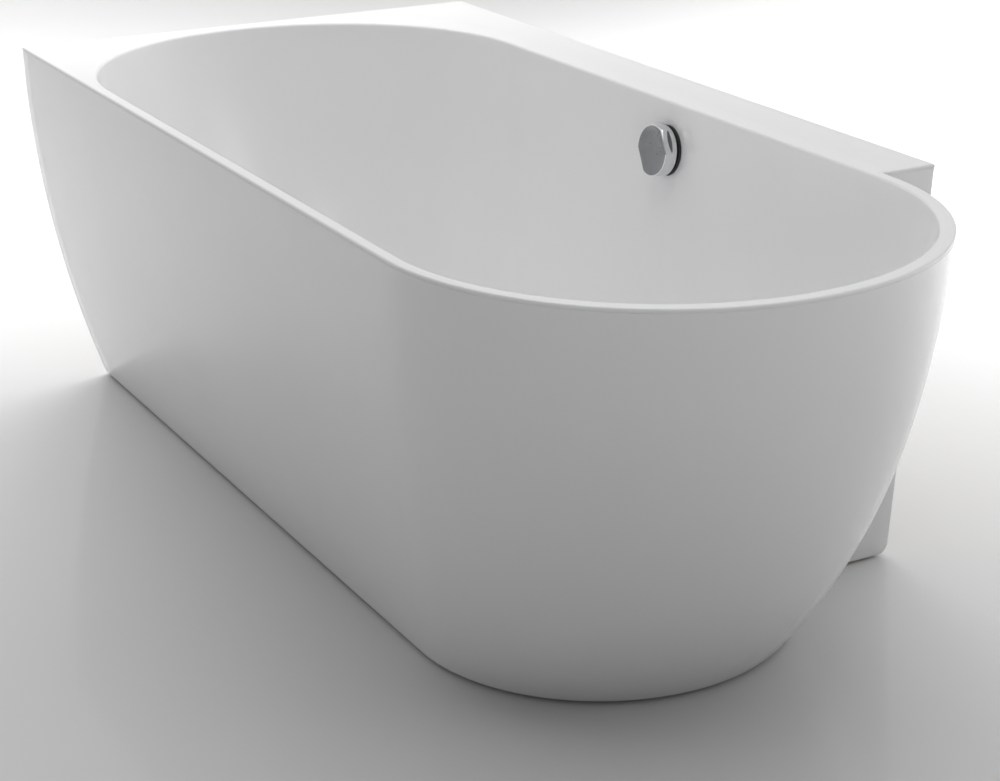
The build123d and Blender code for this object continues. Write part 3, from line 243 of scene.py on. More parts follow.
def rim_rows(inset, wall_inset, z, lip_z):
    """Outer edge of rim and deck, in by inset where it is free and by wall_inset at the two walls.

    The front and the round end follow the skirt's top, the back and left runs follow the walls, and
    the columns over a downturned lip take lip_z for their height.
    """
    inset, wall_inset = inset[:, None], wall_inset[:, None]
    half = skirt_half(SKIRT_TOP)
    centre = skirt_tip(SKIRT_TOP) - half
    left, back = LEFT + wall_inset, BACK - wall_inset
    front, end = TUB_Y - half + inset, deck_end(SKIRT_TOP) - inset
    back_run = RIGHT_CENTRE + (LEFT_CENTRE - RIGHT_CENTRE) * SHARE
    on_deck = BACK_RUN & (back_run < DECK_END_TOP - DECK_END_GAP)
    lap = 4 * SHARE
    corner_x = np.select(
        [lap <= 1, lap <= 3],
        [LEFT_CENTRE + (left - LEFT_CENTRE) * lap, left + 0 * lap],
        left + (LEFT_CENTRE - left) * (lap - 3),
    )
    corner_y = np.select(
        [lap <= 1, lap <= 3], [back + 0 * lap, back + (front - back) * (lap - 1) / 2], front
    )
    x = np.select(
        [FRONT_RUN, ROUND_END, BACK_RUN],
        [
            LEFT_CENTRE + (centre - LEFT_CENTRE) * SHARE + 0 * inset,
            centre + (half - inset) * np.cos(TURN),
            np.where(on_deck, back_run, end),
        ],
        corner_x,
    )
    y = np.select(
        [FRONT_RUN, ROUND_END, BACK_RUN],
        [
            front + 0 * SHARE,
            TUB_Y + (half - inset) * np.sin(TURN),
            np.where(on_deck, back, TUB_Y + half - inset),
        ],
        corner_y,
    )
    x[:, np.flatnonzero(on_deck)[0]] = end[:, 0]
    x[:, np.flatnonzero(BACK_RUN)[0]] = centre
    lip = (on_deck & (back_run < LEFT + BACK_LIP)) | (LEFT_END & (corner_y[0] > BACK - SIDE_LIP))
    return np.stack([x, y, np.where(lip, lip_z[:, None], z[:, None])], -1)


# Rows of the basin's walls that its inside and outside share, so that the overflow hole joins them
WALL_LEVELS = np.linspace(0.225, 0.570, 30)
HOLE_MARGIN = 0.008
HOLE_RINGS = 4
FLOOR_STEPS = 8
FOOT_STEPS = 16


def foot_levels(wall):
    """Heights round the rounded foot, closer together where it is nearly level."""
    floor = BASIN_FLOOR - wall
    angle = np.linspace(0, np.pi / 2, FOOT_STEPS, endpoint=False)
    return floor + (WALL_LEVELS[0] - floor) * (1 - np.cos(angle))


def hole_patch(points, rows, columns, wall):
    """Rings between a round hole and the block of grid cells left out round it, the hole's ring first.

    Points move evenly out along rays, and their depth is the basin wall's at their height.
    """
    (r0, r1), (c0, c1) = rows, columns
    loop = np.concatenate([
        points[r0, c0:c1], points[r0:r1, c1], points[r1, c1:c0:-1], points[r1:r0:-1, c0],
    ])
    across, height = loop[:, 0] - WASTE_X, loop[:, 2] - OVERFLOW_Z
    order = np.argsort(np.arctan2(height, across))
    across, height = across[order], height[order]
    reach = np.hypot(across, height)
    share = np.linspace(0, 1, HOLE_RINGS)[:, None]
    scale = (WASTE_HOLE + (reach - WASTE_HOLE) * share) / reach
    z = OVERFLOW_Z + height * scale
    y = TUB_Y + basin_profile(z, RIM_RADIUS, BASIN_SIDE_INSET, wall)
    return np.stack([WASTE_X + across * scale, y, z], -1)


def make_tub():
    """Closed sheet: from the waste hole up the inside, over rim and deck, and back down the outside."""
    angle = np.linspace(0, np.pi / 2, 7)
    grow, fall = OPENING_EDGE * (1 - np.cos(angle)), OPENING_EDGE * (1 - np.sin(angle))
    opening = basin_rows(TOP - fall) + OUTWARD * grow[:, None, None]
    fall, inset = RIM_EDGE * (1 - np.cos(angle)), RIM_EDGE * (1 - np.sin(angle))
    edge = rim_rows(inset, np.minimum(inset, WALL_EDGE), TOP - fall, TOP - fall)
    thirds = np.array([1, 2])[:, None, None] / 3
    deck = opening[-1] + (edge[0] - opening[-1]) * thirds
    lip_z = SKIRT_TOP - LIP_DEPTH
    groove = SKIRT_TOP + JOINT_EDGE
    under = rim_rows(
        np.array([0, JOINT_EDGE, ACRYLIC, ACRYLIC]),
        np.array([0, 0, ACRYLIC, ACRYLIC]),
        np.array([groove, SKIRT_TOP, SKIRT_TOP, SKIRT_TOP]),
        np.array([groove, lip_z, lip_z, SKIRT_TOP]),
    )
    levels = np.append(WALL_LEVELS, SKIRT_TOP)
    outside = basin_rows(np.concatenate([foot_levels(ACRYLIC), levels])[::-1], ACRYLIC)
    below = under[-1] + (outside[0] - under[-1]) * thirds
    inside = basin_rows(np.concatenate([foot_levels(0.0), WALL_LEVELS]))
    above = [floor_rows(BASIN_FLOOR, 0.0, FLOOR_STEPS), inside, opening, deck, edge, under, below]
    bottom = floor_rows(BASIN_FLOOR - ACRYLIC, ACRYLIC, FLOOR_STEPS)[::-1]
    points = np.concatenate([*above, outside, bottom])
    faces = grid_faces(*points.shape[:2], closed_rows=True, closed_columns=True)

    first = np.searchsorted(WALL_LEVELS, OVERFLOW_Z - WASTE_HOLE - HOLE_MARGIN) - 1
    last = np.searchsorted(WALL_LEVELS, OVERFLOW_Z + WASTE_HOLE + HOLE_MARGIN)
    x = basin_rows(np.array([OVERFLOW_Z]))[0, :, 0]
    near = np.flatnonzero(BACK_RUN & (abs(x - WASTE_X) < WASTE_HOLE + HOLE_MARGIN))
    columns = (near[0] - 1, near[-1] + 1)
    inner_base = FLOOR_STEPS + len(foot_levels(0.0))
    outer_base = sum(len(block) for block in above) + len(levels) - 1
    inner = (inner_base + first, inner_base + last)
    outer = (outer_base - last, outer_base - first)
    rings = [hole_patch(points, inner, columns, 0.0), hole_patch(points, outer, columns, ACRYLIC)]
    keep = np.ones(faces.shape[:2], bool)
    for r0, r1 in (inner, outer):
        keep[r0:r1, columns[0]:columns[1]] = False
    rings.append(np.stack([rings[0][0], rings[1][0]]))
    parts = [(points, faces[keep])]
    parts += [(ring, grid_faces(*ring.shape[:2], closed_columns=True)) for ring in rings]
    return new_piece("tub_sheet", parts)


FRONT_COLUMNS = 48
TIP_COLUMNS = 112
PANEL_COLUMNS = 10
SKIRT_ROWS = 44
# Rows over the rounded foot corner, as shares of its height
CORNER_ROWS = np.array([0.1, 0.22, 0.4, 0.6, 0.8, 1])


def skirt_rows(z, wall):
    """Plan of the skirt at each height and depth in its wall, from one wall return to the other.

    A return along the left wall, the straight front, the half circle of the round end as far as the
    leaning panel, the panel, and a return along the back wall. The two corners at the walls are round.
    """
    z, wall = z[:, None], wall[:, None]
    half, tip, panel = skirt_half(z, wall), skirt_tip(z, wall), deck_end(z, wall)
    centre, front = tip - half, TUB_Y - half
    edge = np.maximum(SKIRT_EDGE - wall, 0)
    rise = np.clip(FOOT_CORNER - (z - SKIRT_BOTTOM), 0, FOOT_CORNER)
    back = BACK - wall - (FOOT_CORNER - np.sqrt(FOOT_CORNER**2 - rise**2))
    left = LEFT + wall
    quarter = np.linspace(0, np.pi / 2, 4)
    share = np.linspace(0, 1, 3)

    return_y = TUB_Y - skirt_half(z) + RETURN_WIDTH
    left_return = (left + 0 * share, return_y + (front + edge - return_y) * share)
    turn = quarter[::-1]
    left_corner = (left + edge * (1 - np.sin(turn)), front + edge * (1 - np.cos(turn)))
    along = np.linspace(0, 1, FRONT_COLUMNS)[1:]
    front_run = (left + edge + (centre - left - edge) * along, front + 0 * along)
    reach = np.arccos(np.clip((panel - centre) / half, 0, 1))
    arc = half * (reach + np.pi / 2)
    travel = np.linspace(0, 1, TIP_COLUMNS)[1:] * (arc + np.maximum(centre - panel, 0))
    angle = np.minimum(travel, arc) / half - np.pi / 2
    past = np.maximum(travel - arc, 0)
    round_end = (centre + half * np.cos(angle) - past, TUB_Y + half * np.sin(angle))
    start_y = round_end[1][:, -1:]
    across = np.linspace(0, 1, PANEL_COLUMNS)[1:]
    panel_run = (panel + 0 * across, start_y + (back - edge - start_y) * across)
    back_corner = (panel - edge * (1 - np.cos(quarter)), back - edge * (1 - np.sin(quarter)))
    return_x = deck_end(z) - RETURN_WIDTH
    back_return = (panel - edge + (return_x - panel + edge) * share, back + 0 * share)
    runs = (left_return, left_corner, front_run, round_end, panel_run, back_corner, back_return)
    x = np.concatenate([np.broadcast_to(run[0], (len(z), run[0].shape[1])) for run in runs], 1)
    y = np.concatenate([np.broadcast_to(run[1], (len(z), run[1].shape[1])) for run in runs], 1)
    return np.stack([x, y, np.broadcast_to(z, x.shape)], -1)


def make_skirt():
    """Closed wall: up the outside, over the bonding flange under the rim, and down the inside."""
    bond_z = SKIRT_TOP - BOND_DEPTH
    corner = SKIRT_BOTTOM + FOOT_CORNER * CORNER_ROWS
    bottom = SKIRT_BOTTOM + SKIRT_EDGE * np.array([0, 0.3])
    heights = np.concatenate([bottom, corner, np.linspace(corner[-1], bond_z, SKIRT_ROWS)[1:]])
    outer_wall = np.zeros(len(heights))
    outer_wall[:2] = SKIRT_EDGE * np.array([1, 0.3])
    top_z = np.array([SKIRT_TOP - JOINT_EDGE, SKIRT_TOP, SKIRT_TOP, bond_z])
    top_wall = np.array([0, JOINT_EDGE, BOND_INSET, BOND_INSET])
    z = np.concatenate([heights, top_z, heights[::-1]])
    wall = np.concatenate([outer_wall, top_wall, np.full(len(heights), SKIRT_WALL)])
    points = skirt_rows(z, wall)
    rows, columns = points.shape[:2]
    k = np.arange(len(heights) - 1)
    flange = np.arange(len(heights) - 1, len(heights) + len(top_z) + 1)
    faces = grid_faces(rows, columns, closed_rows=True).reshape(-1, 4).tolist()
    for column in (0, columns - 1):
        strip = np.stack([k, k + 1, rows - 2 - k, rows - 1 - k], -1) * columns + column
        faces += strip.tolist() + [(flange * columns + column).tolist()]
    return new_piece("skirt_sheet", [(points, faces)])


def overflow_frame():
    """Centre of the overflow on the rear wall, with its across, up and outward directions."""
    step = 1e-4
    heights = np.array([OVERFLOW_Z - step, OVERFLOW_Z, OVERFLOW_Z + step])
    reach = basin_profile(heights, RIM_RADIUS, BASIN_SIDE_INSET)
    tilt = math.atan((reach[2] - reach[0]) / (2 * step))
    centre = np.array([WASTE_X, TUB_Y + reach[1], OVERFLOW_Z])
    up = np.array([0, math.sin(tilt), math.cos(tilt)])
    out = np.array([0, -math.cos(tilt), math.sin(tilt)])
    return centre, np.array([1.0, 0, 0]), up, out


OVERFLOW_CENTRE, ACROSS, UP, OUT = overflow_frame()

# Knob: a chrome drum whose front disc has two flats cut for the fingers, with a satin plate on its face
KNOB_RADIUS = 0.0375
KNOB_FRONT = 0.028
KNOB_BACK = 0.008
KNOB_STEP = 0.016
KNOB_HOLLOW = 0.029
KNOB_HUB = 0.009
KNOB_EDGE = 0.0009
KNOB_WEB = 0.004
SPINDLE_BORE = 0.00505
SPINDLE_DEPTH = 0.006
GRIP_SHARE = 0.863
GRIP_ANGLE = math.radians(34)
FACE_INSET = 0.0013
FACE_THICK = 0.0003


def knob_angles():
    """Angles round the knob, with a column on each of the four ends of the two flats."""
    half = math.acos(GRIP_SHARE)
    stops = [GRIP_ANGLE - half, GRIP_ANGLE + half, GRIP_ANGLE + np.pi - half, GRIP_ANGLE + np.pi + half]
    stops.append(stops[0] + 2 * np.pi)
    counts = (32, 64, 32, 64)
    return np.concatenate([
        np.linspace(low, high, count, endpoint=False) for low, high, count in zip(stops, stops[1:], counts)
    ])


KNOB_TURN = knob_angles()
KNOB_AROUND = np.cos(KNOB_TURN)[:, None] * ACROSS + np.sin(KNOB_TURN)[:, None] * UP
KNOB_FLAT = GRIP_SHARE * KNOB_RADIUS / np.maximum(abs(np.cos(KNOB_TURN - GRIP_ANGLE)), 0.1)
KNOB_DISC = np.minimum(KNOB_FLAT, KNOB_RADIUS)


def turned_knob(name, rows):
    """A piece of the knob: its radius at each angle times a row's share, at the row's height."""
    radius = np.array([row[0] for row in rows])[..., None]
    height = np.array([row[1] for row in rows])[:, None, None]
    points = OVERFLOW_CENTRE + radius * KNOB_AROUND + height * OUT
    faces = grid_faces(*points.shape[:2], closed_columns=True)
    return new_piece(name, [(points, faces)], body="knob", sharp=28)


def make_knob():
    """Drum of the knob, turned about the overflow's axis.

    Above the step the radius is the least of the full circle's and the two flats', which is the
    flat's distance over the cosine of the angle from its middle.
    """
    disc, none = KNOB_DISC, 0 * KNOB_DISC
    full = none + KNOB_RADIUS
    ledge = np.where(disc < KNOB_RADIUS - KNOB_EDGE, KNOB_RADIUS - KNOB_EDGE / 2, disc)
    turn = np.linspace(0, np.pi / 2, 5)
    front = KNOB_FRONT - FACE_THICK
    rows = [(none, front), (0.5 * disc, front)]
    rows += [(disc - KNOB_EDGE * (1 - np.sin(a)), front - KNOB_EDGE * (1 - np.cos(a))) for a in turn]
    rows += [(disc, KNOB_STEP), (ledge, KNOB_STEP), (full, KNOB_STEP - KNOB_EDGE / 2)]
    rows += [(full - KNOB_EDGE * (1 - np.cos(a)), KNOB_BACK + KNOB_EDGE * (1 - np.sin(a))) for a in turn]
    web, bore_end = KNOB_FRONT - KNOB_WEB, KNOB_FRONT - SPINDLE_DEPTH
    rows += [(none + KNOB_HOLLOW, KNOB_BACK), (none + KNOB_HOLLOW, web)]
    rows += [(none + KNOB_HUB, web), (none + KNOB_HUB, KNOB_BACK)]
    rows += [(none + SPINDLE_BORE, KNOB_BACK), (none + SPINDLE_BORE, bore_end), (none, bore_end)]
    return turned_knob("knob_dial", rows)


def make_knob_face():
    """Thin plate on the knob's front, in by a margin from the disc's edge all round."""
    plate, none = KNOB_DISC - FACE_INSET, 0 * KNOB_DISC
    low, high = KNOB_FRONT - FACE_THICK, KNOB_FRONT
    rows = [(none, high), (0.5 * plate, high), (plate - FACE_THICK, high), (plate, high - FACE_THICK / 2)]
    rows += [(plate, low), (none, low)]
    return turned_knob("knob_face_plate", rows)


# Levelling feet: threaded stems with a hexagon to turn them by, and their nuts
SIDES = 24
STEM_RADIUS = 0.006
STEM_FOOT = 0.004
STEM_TOP = 0.098
STEM_CHAMFER = 0.001
HEX_LOW, HEX_HIGH = 0.014, 0.021
HEX_FLATS = 0.014
HEX_CHAMFER = 0.0007
THREAD_PITCH = 0.00175
THREAD_DEPTH = 0.0009
THREAD_STEPS = 6
NUT_FLATS = 0.019
NUT_BORE = 0.00605
NUT_CONE = np.array([0.0088, 0.0100, 0.0113])
CONE_ANGLE = math.radians(30)
FOOT_NAMES = [f"{side}_{end}" for side in ("left", "middle", "right") for end in ("front", "rear")]
AROUND = np.linspace(0, 2 * np.pi, SIDES, endpoint=False)


def hexagon(flats):
    """Radius of a hexagon round its centre: half its width over the cosine of the angle from a flat."""
    return flats / 2 / np.cos((AROUND + np.pi / 6) % (np.pi / 3) - np.pi / 6)


def turned_upright(centre, radius, height):
    """Points of a shape turned about an upright axis from rows of radius and a height for each."""
    radius = np.asarray(radius)
    height = np.broadcast_to(np.asarray(height)[:, None], radius.shape)
    x = centre[0] + radius * np.cos(AROUND)
    return np.stack([x, centre[1] + radius * np.sin(AROUND), height], -1)


def foot_centre(name):
    low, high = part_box(f"foot_stem_{name}")
    return (low[0] + high[0]) / 2, (low[1] + high[1]) / 2


def make_stem(name):
    """Threaded stem: its radius dips in a V whose phase is height over pitch less the turn."""
    ones = np.ones(SIDES)
    z = np.arange(HEX_HIGH + THREAD_PITCH, STEM_TOP - STEM_CHAMFER, THREAD_PITCH / THREAD_STEPS)
    phase = z[:, None] / THREAD_PITCH - AROUND / (2 * np.pi)
    thread = STEM_RADIUS - THREAD_DEPTH * abs(2 * (phase % 1) - 1)
    core = (STEM_RADIUS - THREAD_DEPTH) * ones
    corner = hexagon(HEX_FLATS)
    face = np.minimum(corner, HEX_FLATS / 2 + HEX_CHAMFER / 3)
    radius = [0 * ones, STEM_RADIUS * ones, STEM_RADIUS * ones, face, corner, corner, face]
    height = [STEM_FOOT, STEM_FOOT, HEX_LOW, HEX_LOW]
    height += [HEX_LOW + HEX_CHAMFER, HEX_HIGH - HEX_CHAMFER, HEX_HIGH]
    radius += [core, *thread, core, 0 * ones]
    height += [HEX_HIGH, *z, STEM_TOP, STEM_TOP]
    points = turned_upright(foot_centre(name), radius, height)
    faces = grid_faces(*points.shape[:2], closed_columns=True)
    stem = new_piece(f"thread_{name}", [(points, faces)], body=f"foot_{name}", sharp=50)
    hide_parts(f"foot_stem_{name}")
    return stem


def make_nuts(node_name):
    """Hexagon nuts, each cut by a shallow cone at top and bottom, with a plain bore."""
    low, high = (corner[2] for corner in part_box(node_name))
    bore = NUT_BORE * np.ones(SIDES)
    eased = np.minimum(hexagon(NUT_FLATS), NUT_CONE[:, None])
    depth = (NUT_CONE - NUT_CONE[0]) * math.tan(CONE_ANGLE)
    radius = [bore, *eased, *eased[::-1], bore]
    height = [low, *(low + depth), *(high - depth[::-1]), high]
    parts = []
    for name in FOOT_NAMES:
        points = turned_upright(foot_centre(name), radius, height)
        parts.append((points, grid_faces(*points.shape[:2], closed_rows=True, closed_columns=True)))
    nuts = new_piece(f"{node_name}_hex", parts)
    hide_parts(node_name)
    return nuts


# The hose and the cable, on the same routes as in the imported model
HOSE_RADIUS = 0.016
HOSE_PITCH = 0.006
HOSE_RIB = 0.0022
HOSE_CUFF = 0.022
HOSE_SIDES = 40
SPIGOT_OUT = -0.032
SPIGOT_LENGTH = 0.060
PORT_END = 0.060
PORT_Z = 0.088
CABLE_RADIUS = 0.003
CABLE_PITCH = 0.0022
CABLE_RIB = 0.0003
CABLE_SIDES = 16
CURVE_STEPS = 24
CRANK_ARM = 0.016
CABLE_OUT = -0.0575
CABLE_STOP = 0.032
CABLE_END = 0.034
GLAND_Z = 0.086
# A direction that neither route runs along
SIDEWAYS = (1.0, 0.6, -0.6)


def on_wall(across, up, out):
    """Point given across, up and out from the rear wall at the overflow."""
    return OVERFLOW_CENTRE + across * ACROSS + up * UP + out * OUT


HOSE_TOP = on_wall(0, -SPIGOT_LENGTH, SPIGOT_OUT)
HOSE_ROUTE = [
    HOSE_TOP,
    HOSE_TOP - 0.160 * UP,
    (WASTE_X, 0.262, 0.150),
    (WASTE_X, 0.205, PORT_Z),
    (WASTE_X, TUB_Y + PORT_END, PORT_Z),
]
CABLE_TOP = on_wall(CRANK_ARM, -CABLE_STOP, CABLE_OUT)
CABLE_ROUTE = [
    CABLE_TOP,
    CABLE_TOP - 0.150 * UP,
    (0.040, 0.290, 0.180),
    (0.070, 0.215, 0.096),
    (0.100, 0.110, 0.088),
    (0.116, 0.020, GLAND_Z),
    (0.092, TUB_Y, GLAND_Z),
    (WASTE_X + CABLE_END, TUB_Y, GLAND_Z),
]


def smooth_path(name, route):
    """Points read from the smooth curve that has the route's points as its control points."""
    curve = bpy.data.curves.new(name, "CURVE")
    curve.dimensions = "3D"
    curve.resolution_u = CURVE_STEPS
    spline = curve.splines.new("NURBS")
    spline.points.add(len(route) - 1)
    for point, place in zip(spline.points, route):
        point.co = (*place, 1)
    spline.order_u = 3
    spline.use_endpoint_u = True
    spline.resolution_u = CURVE_STEPS
    holder = bpy.data.objects.new(name, curve)
    mesh = bpy.data.meshes.new_from_object(holder)
    points = np.zeros(3 * len(mesh.vertices))
    mesh.vertices.foreach_get("co", points)
    bpy.data.objects.remove(holder)
    bpy.data.curves.remove(curve)
    bpy.data.meshes.remove(mesh)
    return points.reshape(-1, 3)


def carried(route, step, radius_at, sides):
    """A round profile carried along a path, its radius a function of the distance along it.

    The path is divided evenly, and each ring stands square to it. The ends are closed to their centres.
    """
    lengths = np.append(0, np.cumsum(np.linalg.norm(np.diff(route, axis=0), axis=1)))
    along = np.linspace(0, lengths[-1], int(lengths[-1] / step) + 1)
    path = np.column_stack([np.interp(along, lengths, route[:, i]) for i in range(3)])
    tangent = np.gradient(path, axis=0)
    tangent /= np.linalg.norm(tangent, axis=1, keepdims=True)
    first = np.cross(tangent, SIDEWAYS)
    first /= np.linalg.norm(first, axis=1, keepdims=True)
    second = np.cross(tangent, first)
    angle = np.linspace(0, 2 * np.pi, sides, endpoint=False)[:, None]
    around = np.cos(angle) * first[:, None, :] + np.sin(angle) * second[:, None, :]
    rings = path[:, None, :] + radius_at(along, lengths[-1])[:, None, None] * around
    centres = np.broadcast_to(path[[0, -1], None, :], (2, sides, 3))
    points = np.concatenate([centres[:1], rings, centres[1:]])
    return points, grid_faces(*points.shape[:2], closed_columns=True)


def hose_radius(along, length):
    """Corrugated between two plain cuffs: the radius dips by a rounded wave once for each pitch."""
    wave = 0.5 - 0.5 * np.cos(2 * np.pi * (along - HOSE_CUFF) / HOSE_PITCH)
    plain = (along < HOSE_CUFF) | (along > length - HOSE_CUFF)
    return HOSE_RADIUS - np.where(plain, 0, HOSE_RIB * wave**1.5)


def cable_radius(along, length):
    """Sheath over a coiled liner, which shows as a fine ripple between two plain ends."""
    wave = 0.5 - 0.5 * np.cos(2 * np.pi * along / CABLE_PITCH)
    plain = (along < 2 * CABLE_RADIUS) | (along > length - 2 * CABLE_RADIUS)
    return CABLE_RADIUS - np.where(plain, 0, CABLE_RIB * wave)


def make_hose():
    part = carried(smooth_path("hose_path", HOSE_ROUTE), HOSE_PITCH / 6, hose_radius, HOSE_SIDES)
    hose = new_piece("corrugated_hose", [part], sharp=60)
    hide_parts("overflow_hose")
    return hose


def make_cable():
    part = carried(smooth_path("cable_path", CABLE_ROUTE), CABLE_PITCH / 4, cable_radius, CABLE_SIDES)
    cable = new_piece("cable_sheath_run", [part], sharp=60)
    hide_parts("control_cable")
    return cable


# Union nuts with finger ribs
NUT_RIBS = 16
RIB_DEPTH = 0.0011
RIB_STEPS = 8
RIB_STEEPNESS = 1.6
UNION_EDGE = 0.0012
JOINT_LAP = 0.012
HOSE_NUT = 0.020
HOSE_NUT_BORE = 0.01605
TRAP_NUT = 0.030
TRAP_NUT_BORE = 0.02505
OUTLET_NUT = 0.027
OUTLET_NUT_BORE = 0.02305
NUT_LID = 0.002
PIPE_BORE = 0.02003
OUTLET_Z = 0.031


def ribbed_nut(centre, axis, low, high, outer, bore, neck):
    """A ring along an axis whose outside has rounded grooves, with a lid that closes to a neck."""
    axis = np.asarray(axis, float)
    side = np.cross(axis, (0.0, 0.0, 1.0) if abs(axis[2]) < 0.5 else (1.0, 0.0, 0.0))
    side /= np.linalg.norm(side)
    other = np.cross(axis, side)
    angle = np.linspace(0, 2 * np.pi, NUT_RIBS * RIB_STEPS, endpoint=False)
    none = 0 * angle
    groove = RIB_DEPTH * (0.5 + 0.5 * np.clip(RIB_STEEPNESS * np.cos(NUT_RIBS * angle), -1, 1))
    grip = outer - groove
    eased = np.minimum(grip, outer - UNION_EDGE)
    radius = np.array([none + bore, eased, grip, grip, eased, none + neck, none + neck, none + bore])
    lid = high - NUT_LID
    height = np.array([low, low, low + UNION_EDGE, high - UNION_EDGE, high, high, lid, lid])
    around = np.cos(angle)[:, None] * side + np.sin(angle)[:, None] * other
    points = np.asarray(centre) + radius[..., None] * around + height[:, None, None] * axis
    return points, grid_faces(*points.shape[:2], closed_rows=True, closed_columns=True)


def make_union_nuts():
    """The hose's two nuts, the trap's and the outlet's."""
    hose = [
        ribbed_nut(HOSE_TOP, -UP, -JOINT_LAP, JOINT_LAP, HOSE_NUT, HOSE_NUT_BORE, HOSE_NUT_BORE),
        ribbed_nut(
            (WASTE_X, TUB_Y + PORT_END, PORT_Z), (0, -1, 0),
            -JOINT_LAP, JOINT_LAP, HOSE_NUT, HOSE_NUT_BORE, HOSE_NUT_BORE,
        ),
    ]
    trap_low, trap_high = (corner[2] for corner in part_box("trap_nut"))
    outlet_low, outlet_high = (corner[1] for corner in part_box("outlet_nut"))
    trap = ribbed_nut(
        (WASTE_X, TUB_Y, 0), (0, 0, 1), trap_low, trap_high, TRAP_NUT, TRAP_NUT_BORE, PIPE_BORE
    )
    outlet = ribbed_nut(
        (WASTE_X, 0, OUTLET_Z), (0, 1, 0), outlet_low, outlet_high, OUTLET_NUT, OUTLET_NUT_BORE, PIPE_BORE
    )
    made = []
    for name, parts, node_name in (
        ("union_nuts_hose", hose, "hose_nuts"),
        ("union_nut_trap", [trap], "trap_nut"),
        ("union_nut_outlet", [outlet], "outlet_nut"),
    ):
        nut = new_piece(name, parts, sharp=40)
        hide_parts(node_name)
        made.append(nut)
    return made


# Materials
ACRYLIC_LIGHT = (0.83, 0.83, 0.835)
ACRYLIC_DARK = (0.81, 0.81, 0.815)
PLY = 0.0028
FLOOR_LIGHT = (0.70, 0.70, 0.70)
FLOOR_DARK = (0.69, 0.69, 0.69)
FLOOR_ROUGHNESS = 0.06
FLOOR_IOR = 1.5
FLOOR_REACH = 40


def new_group(name, inputs, outputs):
    """An empty shader node group with its sockets."""
    group = bpy.data.node_groups.new(name, "ShaderNodeTree")
    for label, kind in inputs:
        group.interface.new_socket(name=label, in_out="INPUT", socket_type=f"NodeSocket{kind}")
    for label, kind in outputs:
        group.interface.new_socket(name=label, in_out="OUTPUT", socket_type=f"NodeSocket{kind}")
    return group, group.nodes.new("NodeGroupInput").outputs, group.nodes.new("NodeGroupOutput").inputs


def wire(tree, made, links):
    """Link or set a node's inputs."""
    for key, source in links.items():
        if isinstance(source, bpy.types.NodeSocket):
            tree.links.new(source, made.inputs[key])
        else:
            made.inputs[key].default_value = source
    return made


def node(tree, kind, links=None, **settings):
    """A shader node with its settings and its linked or set inputs."""
    made = tree.nodes.new(f"ShaderNode{kind}")
    for key, value in settings.items():
        setattr(made, key, value)
    return wire(tree, made, links or {})


def place_group(tree, group, **links):
    made = tree.nodes.new("ShaderNodeGroup")
    made.node_tree = group
    return wire(tree, made, links).outputs


def make_mottle():
    """Cloudy variation between two values, from one noise."""
    group, given, out = new_group(
        "mottle",
        [("Vector", "Vector"), ("Scale", "Float"), ("Low", "Float"), ("High", "Float")],
        [("Value", "Float"), ("Mask", "Float")],
    )
    noise = node(group, "TexNoise", {"Vector": given["Vector"], "Scale": given["Scale"], "Detail": 5.0})
    spread = node(group, "MapRange", {
        "Value": noise.outputs["Fac"], "From Min": 0.3, "From Max": 0.7,
        "To Min": given["Low"], "To Max": given["High"],
    })
    group.links.new(spread.outputs["Result"], out["Value"])
    group.links.new(noise.outputs["Fac"], out["Mask"])
    return group


def make_strands():
    """Chopped strands: three layers of noise stretched along turned directions, the brightest on top."""
    group, given, out = new_group(
        "strands", [("Vector", "Vector"), ("Scale", "Float")], [("Mask", "Float"), ("Height", "Float")]
    )
    top = 0.0
    for turn, tip in ((0.3, 0.9), (1.4, 2.1), (2.5, 0.2)):
        moved = node(group, "Mapping", {"Vector": given["Vector"], "Rotation": (tip, turn, turn + tip)})
        drawn = node(group, "Mapping", {"Vector": moved.outputs["Vector"], "Scale": (0.10, 1.0, 1.0)})
        noise = node(group, "TexNoise", {
            "Vector": drawn.outputs["Vector"], "Scale": given["Scale"], "Detail": 2.0,
        })
        layer = node(group, "MapRange", {"Value": noise.outputs["Fac"], "From Min": 0.50, "From Max": 0.66})
        top = node(group, "Math", {0: top, 1: layer.outputs["Result"]}, operation="MAXIMUM").outputs[0]
    lumps = node(group, "TexNoise", {"Vector": given["Vector"], "Scale": 38.0, "Detail": 3.0})
    height = node(group, "Math", {0: top, 1: 0.35, 2: lumps.outputs["Fac"]}, operation="MULTIPLY_ADD")
    group.links.new(top, out["Mask"])
    group.links.new(height.outputs[0], out["Height"])
    return group


def make_grain():
    """Wood grain: rings of a noise drawn out along the grain, with fine pores."""
    group, given, out = new_group(
        "grain",
        [("Vector", "Vector"), ("Stretch", "Vector"), ("Rings", "Float")],
        [("Mask", "Float"), ("Height", "Float")],
    )
    drawn = node(group, "VectorMath", {0: given["Vector"], 1: given["Stretch"]}, operation="MULTIPLY")
    bend = node(group, "TexNoise", {"Vector": drawn.outputs[0], "Scale": given["Rings"], "Detail": 3.0})
    rings = node(group, "Math", {0: bend.outputs["Fac"], 1: 9.0}, operation="MULTIPLY")
    saw = node(group, "Math", {0: rings.outputs[0]}, operation="FRACT")
    fine = node(group, "VectorMath", {0: drawn.outputs[0], 1: (14.0, 14.0, 14.0)}, operation="MULTIPLY")
    pores = node(group, "TexNoise", {"Vector": fine.outputs[0], "Scale": given["Rings"], "Detail": 4.0})
    mask = node(group, "Math", {0: saw.outputs[0], 1: pores.outputs["Fac"]}, operation="MULTIPLY")
    group.links.new(mask.outputs[0], out["Mask"])
    group.links.new(pores.outputs["Fac"], out["Height"])
    return group


